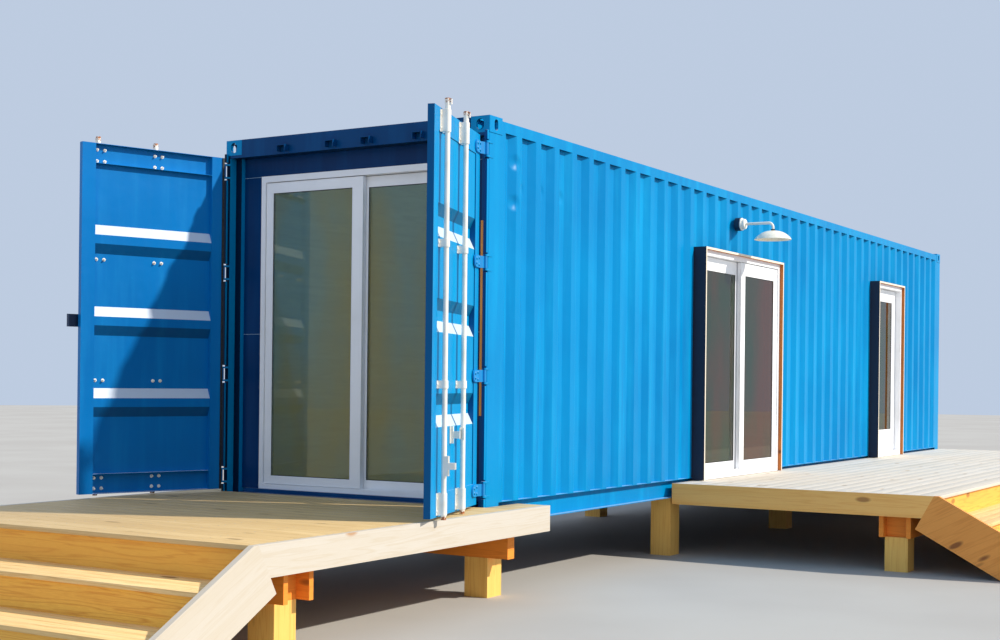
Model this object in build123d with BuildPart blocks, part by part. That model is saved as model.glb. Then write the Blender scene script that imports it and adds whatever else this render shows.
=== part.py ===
from build123d import *
import os

os.makedirs("parts", exist_ok=True)

# Shipping container cabin on timber posts, with a front deck and a side deck.
# Millimetres. While the pieces are drawn, x = 0 is the container's centre line, y = 0 is the plane of
# its door end with y running back along the container, and z = 0 is the underside of its corner castings.
# At the end everything is moved so that the origin is the middle of the footprint, on the ground.

# Container shell
container_width = 2438.0
container_length = 12192.0
container_height = 2896.0
half_width = container_width / 2
casting_length = 178.0
casting_width = 162.0
casting_height = 118.0
casting_round = 8.0
casting_wall = 20.0
casting_slot_long = 124.0
casting_slot_wide = 63.5
casting_hole_tall = 79.5
casting_end_hole = 63.5
casting_side_hole = 51.0
post_setback = 4.0
post_face = half_width - post_setback
post_strip = 42.0
jamb_width = 100.0
jamb_front = 70.0
post_corner_radius = 12.0
rail_depth = 60.0
top_rail_height = 78.0
top_rail_drop = 18.0
bottom_rail_height = 156.0
bottom_rail_low = 17.0
bottom_rail_flange = 53.0
bottom_rail_steel = 5.0
sheet = 2.0
roof_sheet = 2.0

# Pressed side walls
fold_pitch = 282.0
fold_flat = 74.0
fold_slope = 68.0
fold_depth = 36.0
fold_first = 454.0
fold_narrow_start = 222.0

# Roof and floor
roof_wave_pitch = 209.0
roof_wave_flat = 91.0
roof_wave_slope = 13.0
roof_wave_depth = 20.0
roof_margin = 200.0
floor_thickness = 28.0
cross_member_height = 128.0
cross_member_width = 45.0
cross_member_steel = 5.0
cross_member_pitch = 305.0

# Door end of the container
header_bottom = 2756.0
sill_bottom = 10.0
sill_step = 62.0
lining_thickness = 60.0
keeper_gap = 34.0
keeper_plate = 8.0
keeper_reach = 50.0
keeper_low = 2772.0
keeper_high = 2822.0

# Cargo doors, each measured along the leaf from its hinge pin and back from the pin's axis
pin_x = half_width - 7.0
pin_y = -26.0
pin_radius = 8.0
pin_fit = 0.4
barrel_radius = 13.0
hinge_heights = (270.0, 1065.0, 1860.0, 2655.0)
barrel_height = 84.0
lug_plate = 14.0
lug_play = 1.5
lug_strap = 50.0
lug_strap_thickness = 3.5
blade_front = 8.0
blade_thickness = 12.0
blade_crank = 40.0
blade_strap = 190.0
leaf_start = 45.0
leaf_end = pin_x - 6.0
leaf_outer = 38.0
leaf_thickness = 45.0
leaf_bottom = 170.0
leaf_top = 2745.0
stile_width = 105.0
leaf_rail_height = 147.0
leaf_steel = 4.0
panel_inset = 6.0
rib_middle = 1442.0
rib_spacing = 601.0
rib_slope = 73.0
rib_floor = 66.0
rib_depth = 34.0
right_swing = 108.0
left_swing = 109.0

# Locking gear
rod_places = (584.0, 1046.0)
rod_standoff = 40.0
rod_radius = 17.0
rod_fit = 0.5
rod_bottom = 153.0
rod_top = 2806.0
cam_reach = 27.0
cam_wide = 22.0
cam_height = 34.0
cam_inset = 5.0
guide_heights = (1005.0, 1895.0)
guide_tall = 50.0
guide_wide = 70.0
end_block_tall = 140.0
end_block_wide = 80.0
end_block_inset = 12.0
strap_wall = 5.0
hub_heights = (683.0, 492.0)
hub_tall = 126.0
hub_short_tall = 76.0
hub_root = 32.0
hub_arm_tall = 42.0
hub_arm_reach = 76.0
hub_cheek = 9.0
hub_slot = 14.0
catch_place = 734.0
catch_height = 678.0
catch_tall = 112.0
catch_wide = 44.0
catch_plate = 6.0
catch_post = 20.0
catch_post_deep = 22.0
catch_arm_tall = 46.0
catch_arm_wide = 13.0
catch_reach = 66.0
lock_box_low = 1395.0
lock_box_tall = 93.0
lock_box_reach = 74.0
lock_box_overlap = 60.0
lock_box_deep = 30.0
lock_box_steel = 6.0

# Timber strip on the right jamb
batten_width = 42.0
batten_thickness = 8.0
batten_low = 783.0
batten_high = 2166.0

# Vinyl doors
frame_depth = 116.0
frame_jamb = 40.0
frame_head = 48.0
frame_sill = 36.0
sash_thickness = 38.0
sash_overlap = 82.0
sash_play = 5.0
track_gap = 8.0
track_first = 12.0
track_rib = 6.0
running_gap = 0.3
glass_thickness = 22.0

# Front door wall
infill_front = 110.0
infill_side = 180.0
infill_head = 146.0
front_frame_front = 98.0
front_stiles = (54.0, 90.0)
front_rails = (52.0, 70.0)

# Side openings, each boxed out by boards
surround_board = 20.0
surround_reach = 117.0
side_frame_setback = 36.0
sill_nose_gap = 5.0
wide_start = 3569.0
wide_width = 2006.0
wide_top = 2275.0
wide_stiles = (90.0, 100.0)
wide_rails = (66.0, 112.0)
narrow_width = 1102.0
narrow_from_rear = 2177.0
narrow_top = 2310.0
door_stile = 125.0
door_rail_top = 140.0
door_rail_bottom = 250.0
door_thickness = 45.0
door_gap = 7.0
door_set = frame_depth - door_thickness
door_hinge_radius = 7.0
door_hinge_pin = 3.5
door_hinge_tall = 100.0
door_hinge_fit = 0.3
door_hinge_leaf = 3.0
door_hinge_wing = 42.0
door_hinge_heights = (420.0, 1230.0, 2040.0)
knob_height = 1215.0
knob_radius = 27.0
knob_reach = 62.0
knob_rose = 31.0
knob_rose_thickness = 8.0
knob_neck = 10.0

# Wall lamp over the wide door
lamp_above_door = 301.0
lamp_spacer_radius = 64.0
lamp_spacer_depth = 53.0
lamp_plate_radius = 60.0
lamp_plate_thickness = 12.0
lamp_box_radius = 50.0
lamp_box_depth = 34.0
lamp_box_round = 12.0
lamp_reach = 375.0
lamp_tube = 13.0
lamp_elbow = 45.0
lamp_drop = 63.0
shade_radius = 178.0
shade_height = 85.0
shade_wall = 2.0
shade_neck = 21.0
shade_neck_height = 14.0
shade_shoulder = 121.0
shade_shoulder_drop = 29.0

# Decks
deck_board = 28.0
board_gap = 5.0
joist_height = 150.0
joist_width = 38.0
fascia_height = 184.0
fascia_width = 38.0
ply_width = 38.0
ply_height = 184.0
beam_width = 262.0
post_width = 190.0
ground = -500.0
deck_top = 145.0
front_half_width = 1490.0
front_depth = 2760.0
side_strip = 440.0
pier_inset = 114.0
pier_end = 156.0
pier_second = 3240.0
pier_spaces = 3
front_joist_pitch = 406.0
front_beam_place = -2300.0
front_beam_half = 1420.0
back_beam_half = 1363.0
back_beam_front = 64.0
back_beam_width = 90.0
side_start = 3130.0
side_edge = 3550.0
side_joist_pitch = 610.0
side_beam_start = 3200.0
side_beam_x = 3180.0
side_post_first = 145.0
side_post_last = 154.0
side_post_spaces = 3

# Stairs
riser_count = 3
stair_run = 380.0
riser_height = 206.0
nosing = 25.0
cheek_depth = 330.0
cheek_foot = 60.0
seam_back = 37.0
side_stair_width = 3000.0

finished = {}


def keep(part, name):
    """Hold a finished piece under its name until everything is moved to the final origin."""
    finished.setdefault(name, []).append(part)


def fold_points(start, end, first, pitch, flat, slope, depth, narrow=None):
    """Corners of a pressed sheet's face between start and end, as (along, inward) pairs."""
    pocket = pitch - flat
    pockets = []
    if narrow is not None:
        pockets.append((narrow, first - flat))
    place = first
    while place + pocket < end + pitch:
        pockets.append((place, place + pocket))
        place += pitch
    corners = []
    for low, high in pockets:
        corners += [(low, 0.0), (low + slope, depth), (high - slope, depth), (high, 0.0)]

    def inward(place):
        for (a, da), (b, db) in zip(corners, corners[1:]):
            if a <= place <= b:
                return da + (db - da) * (place - a) / (b - a)
        return 0.0

    kept = [corner for corner in corners if start < corner[0] < end]
    return [(start, inward(start))] + kept + [(end, inward(end))]


def side_wall(name, side, start, end, low, high):
    """One pressed steel wall panel on the given side of the container."""
    corners = fold_points(
        start, end, fold_first, fold_pitch, fold_flat, fold_slope, fold_depth, fold_narrow_start
    )
    outer = [(side * (post_face - inward), along) for along, inward in corners]
    inner = [(side * (post_face - inward - sheet), along) for along, inward in reversed(corners)]
    with BuildPart() as wall:
        with BuildSketch(Plane.XY.offset(low)):
            with BuildLine():
                Polyline(*outer, *inner, close=True)
            make_face()
        extrude(amount=high - low)
    keep(wall.part, name)


# Corner castings: hollow blocks with an oval hole in the top or bottom and in each outer face
def castings(low, slot_side):
    with BuildPart() as blocks:
        with BuildSketch(Plane.XY.offset(low)):
            for side in (-1, 1):
                for end in (casting_length / 2, container_length - casting_length / 2):
                    with Locations((side * (half_width - casting_width / 2), end)):
                        RectangleRounded(casting_width, casting_length, casting_round)
        extrude(amount=casting_height)
        with BuildSketch(Plane.XY.offset(low + casting_wall)):
            for side in (-1, 1):
                for end in (casting_length / 2, container_length - casting_length / 2):
                    with Locations((side * (half_width - casting_width / 2), end)):
                        Rectangle(casting_width - 2 * casting_wall, casting_length - 2 * casting_wall)
        extrude(amount=casting_height - 2 * casting_wall, mode=Mode.SUBTRACT)
        for side in (-1, 1):
            for end, outward in ((0.0, -1), (container_length, 1)):
                centre_x = side * (half_width - casting_width / 2)
                centre_y = end - outward * casting_length / 2
                centre_z = low + casting_height / 2
                face_x = side * half_width
                face_z = centre_z + slot_side * casting_height / 2
                slot_plane = Plane((centre_x, centre_y, face_z), x_dir=(0, 1, 0), z_dir=(0, 0, slot_side))
                side_plane = Plane((face_x, centre_y, centre_z), x_dir=(0, 0, 1), z_dir=(side, 0, 0))
                end_plane = Plane((centre_x, end, centre_z), x_dir=(0, 0, 1), z_dir=(0, outward, 0))
                for plane, long, wide in (
                    (slot_plane, casting_slot_long, casting_slot_wide),
                    (side_plane, casting_hole_tall, casting_side_hole),
                    (end_plane, casting_hole_tall, casting_end_hole),
                ):
                    with BuildSketch(plane):
                        SlotOverall(long, wide)
                    extrude(amount=-2 * casting_wall, mode=Mode.SUBTRACT)
    keep(blocks.part, "corner_castings")


castings(0.0, -1)
castings(container_height - casting_height, 1)

# Front corner posts: an outer strip that carries the hinge lugs and a jamb behind the leaf's edge
post_low = casting_height
post_high = container_height - casting_height
for side in (-1, 1):
    with BuildPart() as post:
        with BuildSketch(Plane.XY.offset(post_low)):
            with BuildLine():
                Polyline(
                    (side * post_face, 0),
                    (side * (post_face - post_strip), 0),
                    (side * (post_face - post_strip), jamb_front),
                    (side * (post_face - jamb_width), jamb_front),
                    (side * (post_face - jamb_width), casting_length),
                    (side * post_face, casting_length),
                    close=True,
                )
            face = make_face()
            outer_corner = face.vertices().sort_by(Axis.Y)[:2].sort_by(lambda v: abs(v.X))[-1]
            fillet(outer_corner, radius=post_corner_radius)
        extrude(amount=post_high - post_low)
        for height in hinge_heights:
            for lug_low in (
                height - barrel_height / 2 - lug_play - lug_plate,
                height + barrel_height / 2 + lug_play,
            ):
                with BuildSketch(Plane.XY.offset(lug_low)):
                    with Locations((side * pin_x, pin_y)):
                        Circle(barrel_radius)
                    with BuildLine():
                        Polyline(
                            (side * (pin_x - barrel_radius), pin_y),
                            (side * (pin_x + barrel_radius), pin_y),
                            (side * (post_face + lug_strap_thickness), post_corner_radius),
                            (side * (post_face + lug_strap_thickness), lug_strap),
                            (side * post_face, lug_strap),
                            (side * post_face, post_corner_radius),
                            (side * (post_face - post_strip), 0),
                            close=True,
                        )
                    make_face()
                extrude(amount=lug_plate)
            pin_length = barrel_height + 2 * (lug_play + lug_plate)
            with BuildSketch(Plane.XY.offset(height - pin_length / 2)):
                with Locations((side * pin_x, pin_y)):
                    Circle(pin_radius)
            extrude(amount=pin_length)
    keep(post.part, "corner_posts")

# Rear corner posts
rear_post_front = container_length - casting_length
rear_face = container_length - post_setback
with BuildPart() as rear_posts:
    with BuildSketch(Plane.XY.offset(post_low)):
        for side in (-1, 1):
            with Locations((side * (post_face - jamb_width / 2), (rear_post_front + rear_face) / 2)):
                Rectangle(jamb_width, rear_face - rear_post_front)
    extrude(amount=post_high - post_low)
keep(rear_posts.part, "corner_posts")

# Top side rails, square tubes between the castings
rail_start = casting_length
rail_end = container_length - casting_length
wall_low = bottom_rail_low + bottom_rail_height
wall_high = container_height - top_rail_drop - top_rail_height
floor_level = wall_low
rail_high = container_height - top_rail_drop
for side in (-1, 1):
    with BuildPart() as rail:
        with BuildSketch(Plane.XZ.offset(-rail_start)):
            with Locations((side * (post_face - rail_depth / 2), (wall_high + rail_high) / 2)):
                Rectangle(rail_depth, top_rail_height)
        extrude(amount=-(rail_end - rail_start))
    keep(rail.part, "top_side_rails")

# Bottom side rails, channels that open outwards
rail_face = post_face
rail_web = rail_face - bottom_rail_flange
for side in (-1, 1):
    with BuildPart() as rail:
        with BuildSketch(Plane.XZ.offset(-rail_start)):
            with BuildLine():
                Polyline(
                    (side * rail_web, bottom_rail_low),
                    (side * rail_face, bottom_rail_low),
                    (side * rail_face, bottom_rail_low + bottom_rail_steel),
                    (side * (rail_web + bottom_rail_steel), bottom_rail_low + bottom_rail_steel),
                    (side * (rail_web + bottom_rail_steel), wall_low - bottom_rail_steel),
                    (side * rail_face, wall_low - bottom_rail_steel),
                    (side * rail_face, wall_low),
                    (side * rail_web, wall_low),
                    close=True,
                )
            make_face()
        extrude(amount=-(rail_end - rail_start))
    keep(rail.part, "bottom_side_rails")

# Side walls, split beside and over the two openings on the right
wide_end = wide_start + wide_width
narrow_end = container_length - narrow_from_rear
narrow_start = narrow_end - narrow_width
side_wall("left_wall", -1, casting_length, rear_post_front, wall_low, wall_high)
side_wall("right_wall_front", 1, casting_length, wide_start, wall_low, wall_high)
side_wall("right_wall_middle", 1, wide_end, narrow_start, wall_low, wall_high)
side_wall("right_wall_rear", 1, narrow_end, rear_post_front, wall_low, wall_high)
side_wall("right_wall_over_doors", 1, wide_start, wide_end, wide_top, wall_high)
side_wall("right_wall_over_doors", 1, narrow_start, narrow_end, narrow_top, wall_high)

# Rear wall with its sill and header
rear_wall_half = post_face - jamb_width
with BuildPart() as rear_wall:
    corners = fold_points(
        -rear_wall_half,
        rear_wall_half,
        -rear_wall_half + fold_flat,
        fold_pitch,
        fold_flat,
        fold_slope,
        fold_depth,
    )
    outer = [(along, rear_face - inward) for along, inward in corners]
    inner = [(along, rear_face - inward - sheet) for along, inward in reversed(corners)]
    with BuildSketch(Plane.XY.offset(wall_low)):
        with BuildLine():
            Polyline(*outer, *inner, close=True)
        make_face()
    extrude(amount=post_high - wall_low)
keep(rear_wall.part, "rear_wall")

between_castings = container_width - 2 * casting_width
with BuildPart() as rear_rails:
    for low, high, depth in (
        (bottom_rail_low, wall_low, rail_depth),
        (post_high, wall_high, rail_depth),
        (wall_high, rail_high, rear_face - rail_end),
    ):
        with BuildSketch(Plane.XY.offset(low)):
            with Locations((0, rear_face - depth / 2)):
                Rectangle(between_castings, depth)
        extrude(amount=high - low)
keep(rear_rails.part, "end_rails")

# Front header and the stepped sill
with BuildPart() as header:
    with BuildSketch(Plane.XY.offset(post_high)):
        with Locations((0, casting_length / 2)):
            Rectangle(between_castings, casting_length)
    extrude(amount=container_height - post_high)
    with BuildSketch(Plane.XY.offset(header_bottom)):
        with Locations((0, jamb_front / 2)):
            Rectangle(2 * (post_face - post_strip), jamb_front)
        with Locations((0, (jamb_front + casting_length) / 2)):
            Rectangle(2 * (post_face - jamb_width), casting_length - jamb_front)
    extrude(amount=post_high - header_bottom)
keep(header.part, "end_rails")

with BuildPart() as sill:
    with BuildSketch(Plane.YZ.offset(-between_castings / 2)):
        with BuildLine():
            Polyline(
                (0, sill_bottom),
                (casting_length, sill_bottom),
                (casting_length, floor_level),
                (sill_step, floor_level),
                (sill_step, deck_top),
                (0, deck_top),
                close=True,
            )
        make_face()
    extrude(amount=between_castings)
keep(sill.part, "end_rails")

# Keepers on the header that the ends of the locking rods close into
with BuildPart() as keepers:
    for side in (-1, 1):
        for place in rod_places:
            keeper_x = side * (pin_x - place)
            with BuildSketch(Plane.XY.offset(keeper_low)):
                for cheek in (-1, 1):
                    with Locations(
                        (keeper_x + cheek * (keeper_gap + keeper_plate / 2), -keeper_reach / 2)
                    ):
                        Rectangle(keeper_plate, keeper_reach)
            extrude(amount=keeper_high - keeper_low)
            with BuildSketch(Plane.XY.offset(keeper_high - keeper_plate)):
                with Locations((keeper_x, -keeper_reach / 2)):
                    Rectangle(2 * (keeper_gap + keeper_plate), keeper_reach)
            extrude(amount=keeper_plate)
keep(keepers.part, "rod_keepers")

# Roof sheet pressed with waves across the container
roof_half = post_face - rail_depth
roof_face = rail_high
with BuildPart() as roof:
    corners = fold_points(
        rail_start,
        rail_end,
        rail_start + roof_margin,
        roof_wave_pitch,
        roof_wave_flat,
        roof_wave_slope,
        roof_wave_depth,
    )
    last_wave = rail_end - roof_margin / 2
    corners = [corner for corner in corners if corner[0] < last_wave or corner[1] == 0.0]
    outer = [(along, roof_face - inward) for along, inward in corners]
    inner = [(along, roof_face - inward - roof_sheet) for along, inward in reversed(corners)]
    with BuildSketch(Plane.YZ.offset(-roof_half)):
        with BuildLine():
            Polyline(*outer, *inner, close=True)
        make_face()
    extrude(amount=2 * roof_half)
keep(roof.part, "roof")

# Plywood floor on steel cross members
with BuildPart() as floor:
    with BuildSketch(Plane.XY.offset(floor_level - floor_thickness)):
        with Locations((0, (rail_start + rail_end) / 2)):
            Rectangle(2 * rail_web, rail_end - rail_start)
    with BuildSketch(Plane.XY.offset(floor_level - floor_thickness)):
        with Locations((0, (rail_end + rear_face - rail_depth) / 2)):
            Rectangle(between_castings, rear_face - rail_depth - rail_end)
    extrude(amount=floor_thickness)
keep(floor.part, "floor")

member_top = floor_level - floor_thickness
member_low = member_top - cross_member_height
member_count = int((rail_end - rail_start - 2 * cross_member_width) / cross_member_pitch)
member_first = rail_start + (rail_end - rail_start - (member_count - 1) * cross_member_pitch) / 2
with BuildPart() as cross_members:
    with BuildSketch(Plane.YZ.offset(-rail_web)):
        for number in range(member_count):
            front = member_first + number * cross_member_pitch - cross_member_width / 2
            with BuildLine():
                Polyline(
                    (front, member_low),
                    (front + cross_member_width, member_low),
                    (front + cross_member_width, member_low + cross_member_steel),
                    (front + cross_member_steel, member_low + cross_member_steel),
                    (front + cross_member_steel, member_top - cross_member_steel),
                    (front + cross_member_width, member_top - cross_member_steel),
                    (front + cross_member_width, member_top),
                    (front, member_top),
                    close=True,
                )
            make_face()
    extrude(amount=2 * rail_web)
keep(cross_members.part, "floor_cross_members")


# Boards that line the walls and the ceiling inside
wall_back = post_face - fold_depth - sheet
lining_face = wall_back - lining_thickness
lining_high = post_high
right_pieces = (
    (rail_start, wide_start, floor_level),
    (wide_start, wide_end, wide_top),
    (wide_end, narrow_start, floor_level),
    (narrow_start, narrow_end, narrow_top),
    (narrow_end, rail_end, floor_level),
)
with BuildPart() as right_lining:
    for start, end, low in right_pieces:
        with BuildSketch(Plane.XY.offset(low)):
            with Locations(((lining_face + wall_back) / 2, (start + end) / 2)):
                Rectangle(lining_thickness, end - start)
        extrude(amount=lining_high - low)
keep(right_lining.part, "wall_lining")

with BuildPart() as left_lining:
    with BuildSketch(Plane.XY.offset(floor_level)):
        with Locations((-(lining_face + wall_back) / 2, (rail_start + rail_end) / 2)):
            Rectangle(lining_thickness, rail_end - rail_start)
    extrude(amount=lining_high - floor_level)
keep(left_lining.part, "wall_lining")

rear_wall_back = rear_face - fold_depth - sheet
with BuildPart() as rear_lining:
    with BuildSketch(Plane.XY.offset(floor_level)):
        with Locations((0, rear_wall_back - lining_thickness / 2)):
            Rectangle(2 * rear_wall_half, lining_thickness)
    extrude(amount=lining_high - floor_level)
keep(rear_lining.part, "wall_lining")

with BuildPart() as ceiling:
    with BuildSketch(Plane.XY.offset(lining_high)):
        with Locations((0, (rail_start + rail_end) / 2)):
            Rectangle(2 * wall_back, rail_end - rail_start)
        with Locations((0, (rail_end + rear_face - rail_depth) / 2)):
            Rectangle(between_castings, rear_face - rail_depth - rail_end)
    extrude(amount=wall_high - lining_high)
keep(ceiling.part, "ceiling_lining")


# Cargo doors
def cargo_door(side, side_name, swing):
    """Frame, pressed panel, hinge blades, rod straps and rods of one leaf, swung open from closed."""
    turn = Plane.XY.rotated((0, 0, side * swing))
    leaf_plane = Plane(origin=(side * pin_x, pin_y, 0), x_dir=turn.x_dir, z_dir=(0, 0, 1))

    def at(along, back):
        """A point of the leaf: along it from the pin, and back from the pin's axis."""
        return (-side * along, back)

    def level(height):
        """The level plane of the leaf at that height."""
        return leaf_plane.offset(height)

    def on_face(along, back, height):
        """A plane against the leaf at that point, with x along the leaf and z outwards."""
        place = leaf_plane.location * Location((*at(along, back), height))
        return Plane(origin=place.position, x_dir=leaf_plane.x_dir * -side, z_dir=leaf_plane.y_dir * -1)

    inner_start = leaf_start + stile_width
    inner_end = leaf_end - stile_width
    leaf_back = leaf_outer + leaf_thickness

    # Hollow stiles joined by channels that open inwards
    with BuildPart() as frame:
        with BuildSketch(level(leaf_bottom)):
            for place in (leaf_start + stile_width / 2, leaf_end - stile_width / 2):
                with Locations(at(place, leaf_outer + leaf_thickness / 2)):
                    Rectangle(stile_width, leaf_thickness)
                    Rectangle(
                        stile_width - 2 * leaf_steel, leaf_thickness - 2 * leaf_steel, mode=Mode.SUBTRACT
                    )
        extrude(amount=leaf_top - leaf_bottom)
        rail_middle = (inner_start + inner_end) / 2
        rail_length = inner_end - inner_start
        for low in (leaf_bottom, leaf_top - leaf_rail_height):
            with BuildSketch(level(low)):
                with Locations(at(rail_middle, leaf_outer + leaf_steel / 2)):
                    Rectangle(rail_length, leaf_steel)
            extrude(amount=leaf_rail_height)
            for flange in (low, low + leaf_rail_height - leaf_steel):
                with BuildSketch(level(flange)):
                    with Locations(at(rail_middle, leaf_outer + leaf_thickness / 2)):
                        Rectangle(rail_length, leaf_thickness)
                extrude(amount=leaf_steel)
    keep(frame.part, f"{side_name}_cargo_door_frame")

    # Panel with three horizontal ribs pressed inwards
    panel_low = leaf_bottom + leaf_rail_height
    panel_high = leaf_top - leaf_rail_height
    panel_face = leaf_outer + panel_inset
    half_rib = rib_slope + rib_floor / 2
    face_line = [(panel_face, panel_low)]
    for rib in (-1, 0, 1):
        centre = rib_middle + rib * rib_spacing
        face_line.append((panel_face, centre - half_rib))
        face_line.append((panel_face + rib_depth, centre - rib_floor / 2))
        face_line.append((panel_face + rib_depth, centre + rib_floor / 2))
        face_line.append((panel_face, centre + half_rib))
    face_line.append((panel_face, panel_high))
    back_line = [(back + sheet, height) for back, height in reversed(face_line)]
    edge = leaf_plane.location * Location(at(inner_start, 0))
    edge_plane = Plane(origin=edge.position, x_dir=leaf_plane.y_dir, z_dir=leaf_plane.x_dir * -side)
    upright = 1 if edge_plane.y_dir.Z > 0 else -1
    with BuildPart() as panel:
        with BuildSketch(edge_plane):
            with BuildLine():
                Polyline(*[(back, upright * height) for back, height in face_line + back_line], close=True)
            make_face()
        extrude(amount=rail_length)
    keep(panel.part, f"{side_name}_cargo_door_panel")

    # Hinge blades: a barrel on the pin, an arm round the post and a strap with a round end on the leaf
    blade_back = blade_front + blade_thickness
    strap_start = blade_crank + leaf_outer - blade_back
    strap_straight = blade_strap - strap_start - barrel_height / 2
    with BuildPart() as blades:
        for height in hinge_heights:
            with BuildSketch(level(height - barrel_height / 2)):
                Circle(barrel_radius)
                with BuildLine():
                    Polyline(
                        at(0, -barrel_radius / 2),
                        at(barrel_radius, blade_front),
                        at(blade_crank, blade_front),
                        at(strap_start, leaf_outer - blade_thickness),
                        at(strap_start, leaf_outer),
                        at(blade_crank, blade_back),
                        at(0, blade_back),
                        at(-barrel_radius / 2, 0),
                        close=True,
                    )
                make_face()
                Circle(pin_radius + pin_fit, mode=Mode.SUBTRACT)
            extrude(amount=barrel_height)
            with BuildSketch(on_face(strap_start, leaf_outer, height)):
                with Locations((strap_straight / 2, 0)):
                    Rectangle(strap_straight, barrel_height)
                with Locations((strap_straight, 0)):
                    Circle(barrel_height / 2)
            extrude(amount=blade_thickness)
    keep(blades.part, f"{side_name}_cargo_door_fittings")

    # Straps that hold the rods against the panel, and longer blocks on the leaf's top and bottom rails
    rod_back = leaf_outer - rod_standoff
    hub_offset = (hub_slot + hub_cheek) / 2
    low_block = leaf_bottom + end_block_inset
    high_block = leaf_top - end_block_inset - end_block_tall
    spans = [(height - guide_tall / 2, guide_tall, guide_wide, panel_face) for height in guide_heights]
    spans.append((low_block, end_block_tall, end_block_wide, leaf_outer))
    spans.append((high_block, end_block_tall, end_block_wide, leaf_outer))
    strap_radius = rod_radius + rod_fit + strap_wall
    with BuildPart() as straps:
        for low, tall, wide, seat in spans:
            with BuildSketch(level(low)):
                for place in rod_places:
                    with Locations(at(place, seat - strap_wall / 2)):
                        Rectangle(wide, strap_wall)
                    with Locations(at(place, (seat + rod_back) / 2)):
                        Rectangle(2 * strap_radius, seat - rod_back)
                    with Locations(at(place, rod_back)):
                        Circle(strap_radius)
                        Circle(rod_radius + rod_fit, mode=Mode.SUBTRACT)
            extrude(amount=tall)
    keep(straps.part, f"{side_name}_cargo_door_fittings")

    # Catch that held a lever handle: a plate on the panel, an upright and a hook arm
    with BuildPart() as catch:
        for wide, tall, deep in (
            (catch_wide, catch_tall, catch_plate),
            (catch_post, catch_tall, catch_post_deep),
            (catch_arm_wide, catch_arm_tall, catch_reach),
        ):
            with BuildSketch(on_face(catch_place, panel_face, catch_height)):
                Rectangle(wide, tall)
            extrude(amount=deep)
    keep(catch.part, f"{side_name}_cargo_door_fittings")

    # Locking rods with cams at both ends. The outer rod has two cheeks that held a lever handle, turned
    # outwards, and the inner rod two short ones, turned towards the catch.
    for place, hub_height, rod_name in zip(rod_places, hub_heights, ("inner", "outer")):
        with BuildPart() as rod:
            with BuildSketch(level(rod_bottom)):
                with Locations(at(place, rod_back)):
                    Circle(rod_radius)
            extrude(amount=rod_top - rod_bottom)
            with BuildSketch(level(rod_top - cam_height - cam_inset)):
                with Locations(at(place, rod_back - (cam_reach - rod_radius) / 2)):
                    Rectangle(cam_wide, cam_reach + rod_radius)
            extrude(amount=cam_height)
            if rod_name == "outer":
                for tall, reach in ((hub_tall, hub_root), (hub_arm_tall, hub_arm_reach)):
                    with BuildSketch(level(hub_height - tall / 2)):
                        for cheek in (-1, 1):
                            with Locations(at(place + cheek * hub_offset, rod_back - reach / 2)):
                                Rectangle(hub_cheek, reach)
                    extrude(amount=tall)
            else:
                with BuildSketch(level(hub_height - hub_short_tall / 2)):
                    for cheek in (-1, 1):
                        with Locations(at(place + hub_root / 2, rod_back + cheek * hub_offset)):
                            Rectangle(hub_root, hub_cheek)
                extrude(amount=hub_short_tall)
        keep(rod.part, f"{side_name}_{rod_name}_rod")
    return level, at


left_level, left_at = cargo_door(-1, "left", left_swing)
right_level, right_at = cargo_door(1, "right", right_swing)

# Lock box on the free edge of the left leaf, a bent plate that laps over the other leaf
with BuildPart() as lock_box:
    with BuildSketch(left_level(lock_box_low)):
        with BuildLine():
            Polyline(
                left_at(leaf_end - lock_box_overlap, leaf_outer),
                left_at(leaf_end - lock_box_overlap, leaf_outer - lock_box_deep),
                left_at(leaf_end + lock_box_reach, leaf_outer - lock_box_deep),
                left_at(leaf_end + lock_box_reach, leaf_outer - lock_box_deep / 2),
                left_at(leaf_end + lock_box_reach - lock_box_steel, leaf_outer - lock_box_deep / 2),
                left_at(
                    leaf_end + lock_box_reach - lock_box_steel, leaf_outer - lock_box_deep + lock_box_steel
                ),
                left_at(
                    leaf_end - lock_box_overlap + lock_box_steel, leaf_outer - lock_box_deep + lock_box_steel
                ),
                left_at(leaf_end - lock_box_overlap + lock_box_steel, leaf_outer),
                close=True,
            )
        make_face()
    extrude(amount=lock_box_tall)
keep(lock_box.part, "left_cargo_door_fittings")

# Timber strip on the right jamb
with BuildPart() as batten:
    with BuildSketch(Plane.XY.offset(batten_low)):
        with Locations((post_face - jamb_width + batten_width / 2, jamb_front - batten_thickness / 2)):
            Rectangle(batten_width, batten_thickness)
    extrude(amount=batten_high - batten_low)
keep(batten.part, "jamb_batten")

# Wall that closes the door end around the white sliding door
infill_half = post_face - jamb_width
infill_middle = (infill_front + casting_length) / 2
infill_thickness = casting_length - infill_front
front_frame_width = 2 * (infill_half - infill_side)
front_frame_height = header_bottom - infill_head - floor_level
frame_top = header_bottom - infill_head
with BuildPart() as infill_sides:
    with BuildSketch(Plane.XY.offset(floor_level)):
        for side in (-1, 1):
            with Locations((side * (infill_half - infill_side / 2), infill_middle)):
                Rectangle(infill_side, infill_thickness)
    extrude(amount=header_bottom - floor_level)
keep(infill_sides.part, "front_infill")

with BuildPart() as infill_top:
    with BuildSketch(Plane.XY.offset(frame_top)):
        with Locations((0, infill_middle)):
            Rectangle(front_frame_width, infill_thickness)
    extrude(amount=header_bottom - frame_top)
keep(infill_top.part, "front_infill")


frame_face_x = half_width + surround_reach - side_frame_setback


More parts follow.
